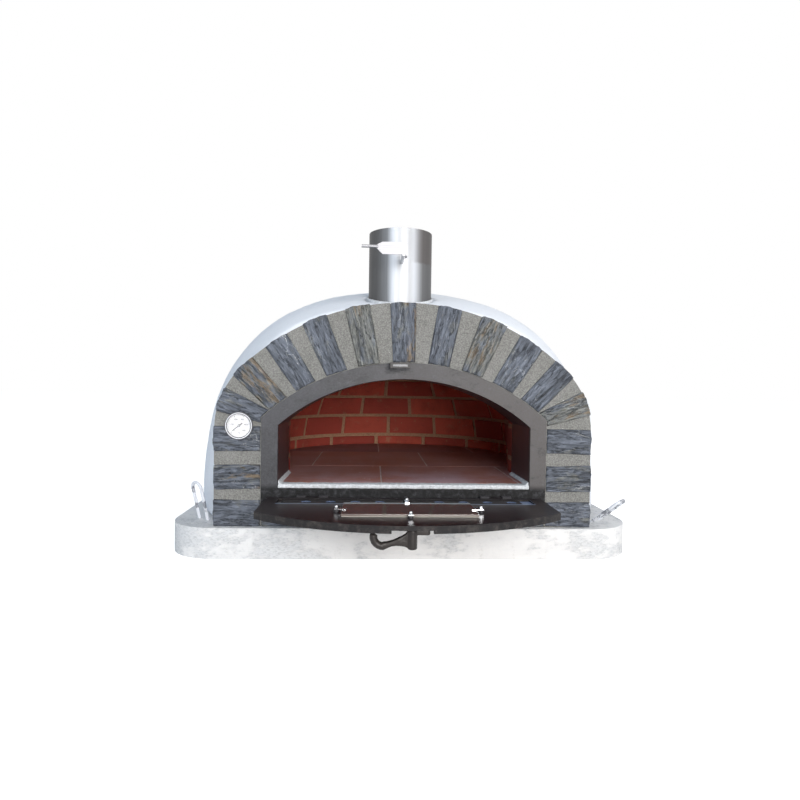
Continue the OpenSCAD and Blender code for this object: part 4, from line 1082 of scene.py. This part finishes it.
class OVEN_OT_chimney(bpy.types.Operator):
    """Chimney pipe, damper and the bead of mortar at its foot"""
    bl_idname = "oven.chimney"
    bl_label = "Chimney and damper"

    def execute(self, context):
        softened("chimney_pipe", "flue_pipe", "oven", "stainless", "pipe", 0.0003, 1)
        for node, name, look, slot in (("damper_plate", "damper_disc", "disc", "stainless"),
                                       ("damper_shaft", "damper_rod", "steel", "bare_steel"),
                                       ("damper_rivets", "damper_studs", "steel", "bare_steel"),
                                       ("damper_handle", "damper_strap", "strap", "stainless")):
            softened(node, name, "damper", slot, look, 0.0005)
        seal = moulded("chimney_seal", "flue_seal", 0.002, 4)
        settle(seal, "oven", "white_mortar", "lime", "chimney_seal")
        return {"FINISHED"}


class OVEN_OT_thermometer(bpy.types.Operator):
    """Dial thermometer with its scale"""
    bl_idname = "oven.thermometer"
    bl_label = "Thermometer"

    SWEEP = (-135, 135)     # of the scale, from the top
    TOP = 500               # last figure on the scale
    TICK = 10               # between one mark and the next
    # Places on the dial, as shares of its radius
    MARKS_END, MARKS_START, BIG_MARKS_START = 0.93, 0.86, 0.78
    FIGURES, UNIT = 0.58, 0.62
    MARK, BIG_MARK = 0.0003, 0.0006     # widths of the marks
    INK = 0.0001                        # height of the printing above the dial

    def execute(self, context):
        softened("thermometer_case", "dial_case", "oven", "bare_steel", "steel", 0.0004)
        softened("thermometer_bezel", "dial_rim", "oven", "chrome", "bezel", 0.0005)
        softened("thermometer_lens", "dial_lens", "oven", "clear_glass", "lens", 0.0002, 1)
        wear("dial", "thermometer_dial")
        wear("steel", "needle_pin", "thermometer_probe")
        wear("ink", "thermometer_needle")
        low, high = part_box("thermometer_dial")
        centre = Vector(((low.x + high.x) / 2, low.y, (low.z + high.z) / 2))
        radius = (high.x - low.x) / 2
        marks = [self.tick(centre, radius, value)
                 for value in range(0, self.TOP + 1, self.TICK)]
        marks += [self.figure(centre, radius * self.FIGURES, value, self.angle(value))
                  for value in range(0, self.TOP + 1, sizes().dial_step)]
        marks.append(self.figure(centre, radius * self.UNIT, "\N{DEGREE SIGN}C", math.pi))
        settle(join("dial_scale", marks), "oven", "black_paint", "ink")
        return {"FINISHED"}

    def angle(self, value):
        a, b = self.SWEEP
        return math.radians(a + (b - a) * value / self.TOP)

    def tick(self, centre, radius, value):
        big = value % sizes().dial_step == 0
        turn = self.angle(value)
        outer = radius * self.MARKS_END
        inner = radius * (self.BIG_MARKS_START if big else self.MARKS_START)
        at = (outer + inner) / 2
        bpy.ops.mesh.primitive_cube_add(
            size=1, rotation=(0, turn, 0),
            scale=(self.BIG_MARK if big else self.MARK, 2 * self.INK, outer - inner),
            location=(centre.x + at * math.sin(turn), centre.y, centre.z + at * math.cos(turn)))
        place_in_mesh(bpy.context.object)
        return bpy.context.object

    def figure(self, centre, radius, value, turn):
        bpy.ops.object.text_add(
            rotation=(math.pi / 2, 0, 0),
            location=(centre.x + radius * math.sin(turn), centre.y - self.INK,
                      centre.z + radius * math.cos(turn)))
        text = bpy.context.object
        text.data.body = str(value)
        text.data.size = sizes().dial_text
        text.data.extrude = self.INK
        text.data.align_x = text.data.align_y = "CENTER"
        bpy.ops.object.convert(target="MESH")
        place_in_mesh(text)
        return text


class OVEN_OT_studio(bpy.types.Operator):
    """Pale floor, soft lights and the camera"""
    bl_idname = "oven.studio"
    bl_label = "Studio"

    EYE = (-0.077, -1.9569, 0.3987)
    YAW, PITCH, ROLL = 2.606, -1.334, 0.799     # degrees
    SENSOR, LENS = 36.0, 27.276
    SKY = (0.82, 0.91, 1.0)     # colour of the world's soft light
    AIM = (0, -0.2, 0.3)        # what the lamps point at
    GLOW = 0.71                 # of the floor, where it is seen
    DIM, BRIGHT = 0.40, 0.60    # the world's light on the oven, and what is added where seen
    # Place, size, power and colour of each lamp
    LAMPS = {
        "key": ((2.6, -1.4, 3.4), 2.2, 42, (1.0, 0.97, 0.93)),
        "fill": ((-3.2, -3.0, 2.4), 3.0, 34, (0.68, 0.84, 1.0)),
        "front": ((0.7, -4.5, 1.0), 1.8, 142, (1.0, 0.97, 0.93)),
        "back": ((0.6, 3.2, 3.2), 2.6, 20, (0.97, 0.98, 1.0)),
    }

    def execute(self, context):
        self.floor()
        self.world()
        for name, (place, size, power, tint) in self.LAMPS.items():
            bpy.ops.object.light_add(type="AREA", location=place)
            lamp = bpy.context.object
            lamp.name = name + "_light"
            lamp.data.shape, lamp.data.size = "DISK", size
            lamp.data.energy, lamp.data.color = power, tint
            aim = Vector(self.AIM) - Vector(place)
            lamp.rotation_euler = aim.to_track_quat("-Z", "Y").to_euler()
        self.camera()
        bpy.context.scene.view_settings.view_transform = "Standard"
        return {"FINISHED"}

    def floor(self):
        bpy.ops.mesh.primitive_plane_add(size=40)
        floor = bpy.context.object
        floor.name = "studio_floor"
        f = Finish("studio_floor", Roughness=0.9, shine=0.0)
        f.set(Base_Color=f.mix(f.noise(2) * 0.1, (0.88, 0.88, 0.88), (0.84, 0.84, 0.84)))
        glow = f.node("Emission", {"Color": (1, 1, 1, 1), "Strength": self.seen(f) * self.GLOW})
        both = f.node("AddShader", {0: Value(f, f.shader.outputs[0]), 1: glow})
        f.tree.links.new(both.socket, f.tree.nodes["Material Output"].inputs["Surface"])
        floor.data.materials.append(f.material)

    @staticmethod
    def seen(f):
        """1 for rays that show the background: straight, mirrored or through glass."""
        straight, mirrored, through = (f.node("LightPath", out=f"Is {kind} Ray")
                                       for kind in ("Camera", "Glossy", "Transmission"))
        return straight.most(mirrored).most(through)

    def world(self):
        world = bpy.data.worlds.new("studio")
        bpy.context.scene.world = world
        f = Finish("studio", "Background", world)
        seen = self.seen(f)
        f.set(Color=f.mix(seen, self.SKY, (1, 1, 1)), Strength=seen * self.BRIGHT + self.DIM)

    def camera(self):
        yaw, pitch, roll = (math.radians(a) for a in (self.YAW, self.PITCH, self.ROLL))
        ahead = Vector((math.sin(yaw) * math.cos(pitch), math.cos(yaw) * math.cos(pitch),
                        math.sin(pitch)))
        across = ahead.cross(Vector((0, 0, 1))).normalized()
        above = across.cross(ahead)
        right = math.cos(roll) * across + math.sin(roll) * above
        up = math.cos(roll) * above - math.sin(roll) * across
        bpy.ops.object.camera_add(location=self.EYE)
        camera = bpy.context.object
        camera.name = "oven_camera"
        camera.rotation_euler = Matrix((right, up, -ahead)).transposed().to_euler()
        camera.data.sensor_width, camera.data.lens = self.SENSOR, self.LENS
        bpy.context.scene.camera = camera


STEPS = (OVEN_OT_studio, OVEN_OT_slab, OVEN_OT_coat, OVEN_OT_slate, OVEN_OT_frame,
         OVEN_OT_hearth, OVEN_OT_dome, OVEN_OT_door, OVEN_OT_handle, OVEN_OT_chimney,
         OVEN_OT_thermometer)


class OVEN_PT_panel(bpy.types.Panel):
    """Lists the oven's building steps, sizes and colours"""
    bl_idname = "OVEN_PT_panel"
    bl_label = "Pizza oven"
    bl_space_type = "VIEW_3D"
    bl_region_type = "UI"
    bl_category = "Oven"

    def draw(self, context):
        for step in STEPS:
            self.layout.operator(step.bl_idname)
        for group in (context.scene.oven_sizes, context.scene.oven_colours):
            box = self.layout.box()
            for name in group.__annotations__:
                box.prop(group, name)


CLASSES = (OvenSizes, OvenColours, *STEPS, OVEN_PT_panel)


def register():
    for cls in CLASSES:
        bpy.utils.register_class(cls)
    bpy.types.Scene.oven_sizes = PointerProperty(type=OvenSizes)
    bpy.types.Scene.oven_colours = PointerProperty(type=OvenColours)


def unregister():
    del bpy.types.Scene.oven_sizes
    del bpy.types.Scene.oven_colours
    for cls in reversed(CLASSES):
        bpy.utils.unregister_class(cls)


def main():
    register()
    bpy.ops.oven.studio()
    bpy.ops.oven.slab()
    bpy.ops.oven.coat()
    bpy.ops.oven.slate()
    bpy.ops.oven.frame()
    bpy.ops.oven.hearth()
    bpy.ops.oven.dome()
    bpy.ops.oven.door()
    bpy.ops.oven.handle()
    bpy.ops.oven.chimney()
    bpy.ops.oven.thermometer()
    bpy.ops.object.select_all(action="DESELECT")


if __name__ == "__main__":
    main()
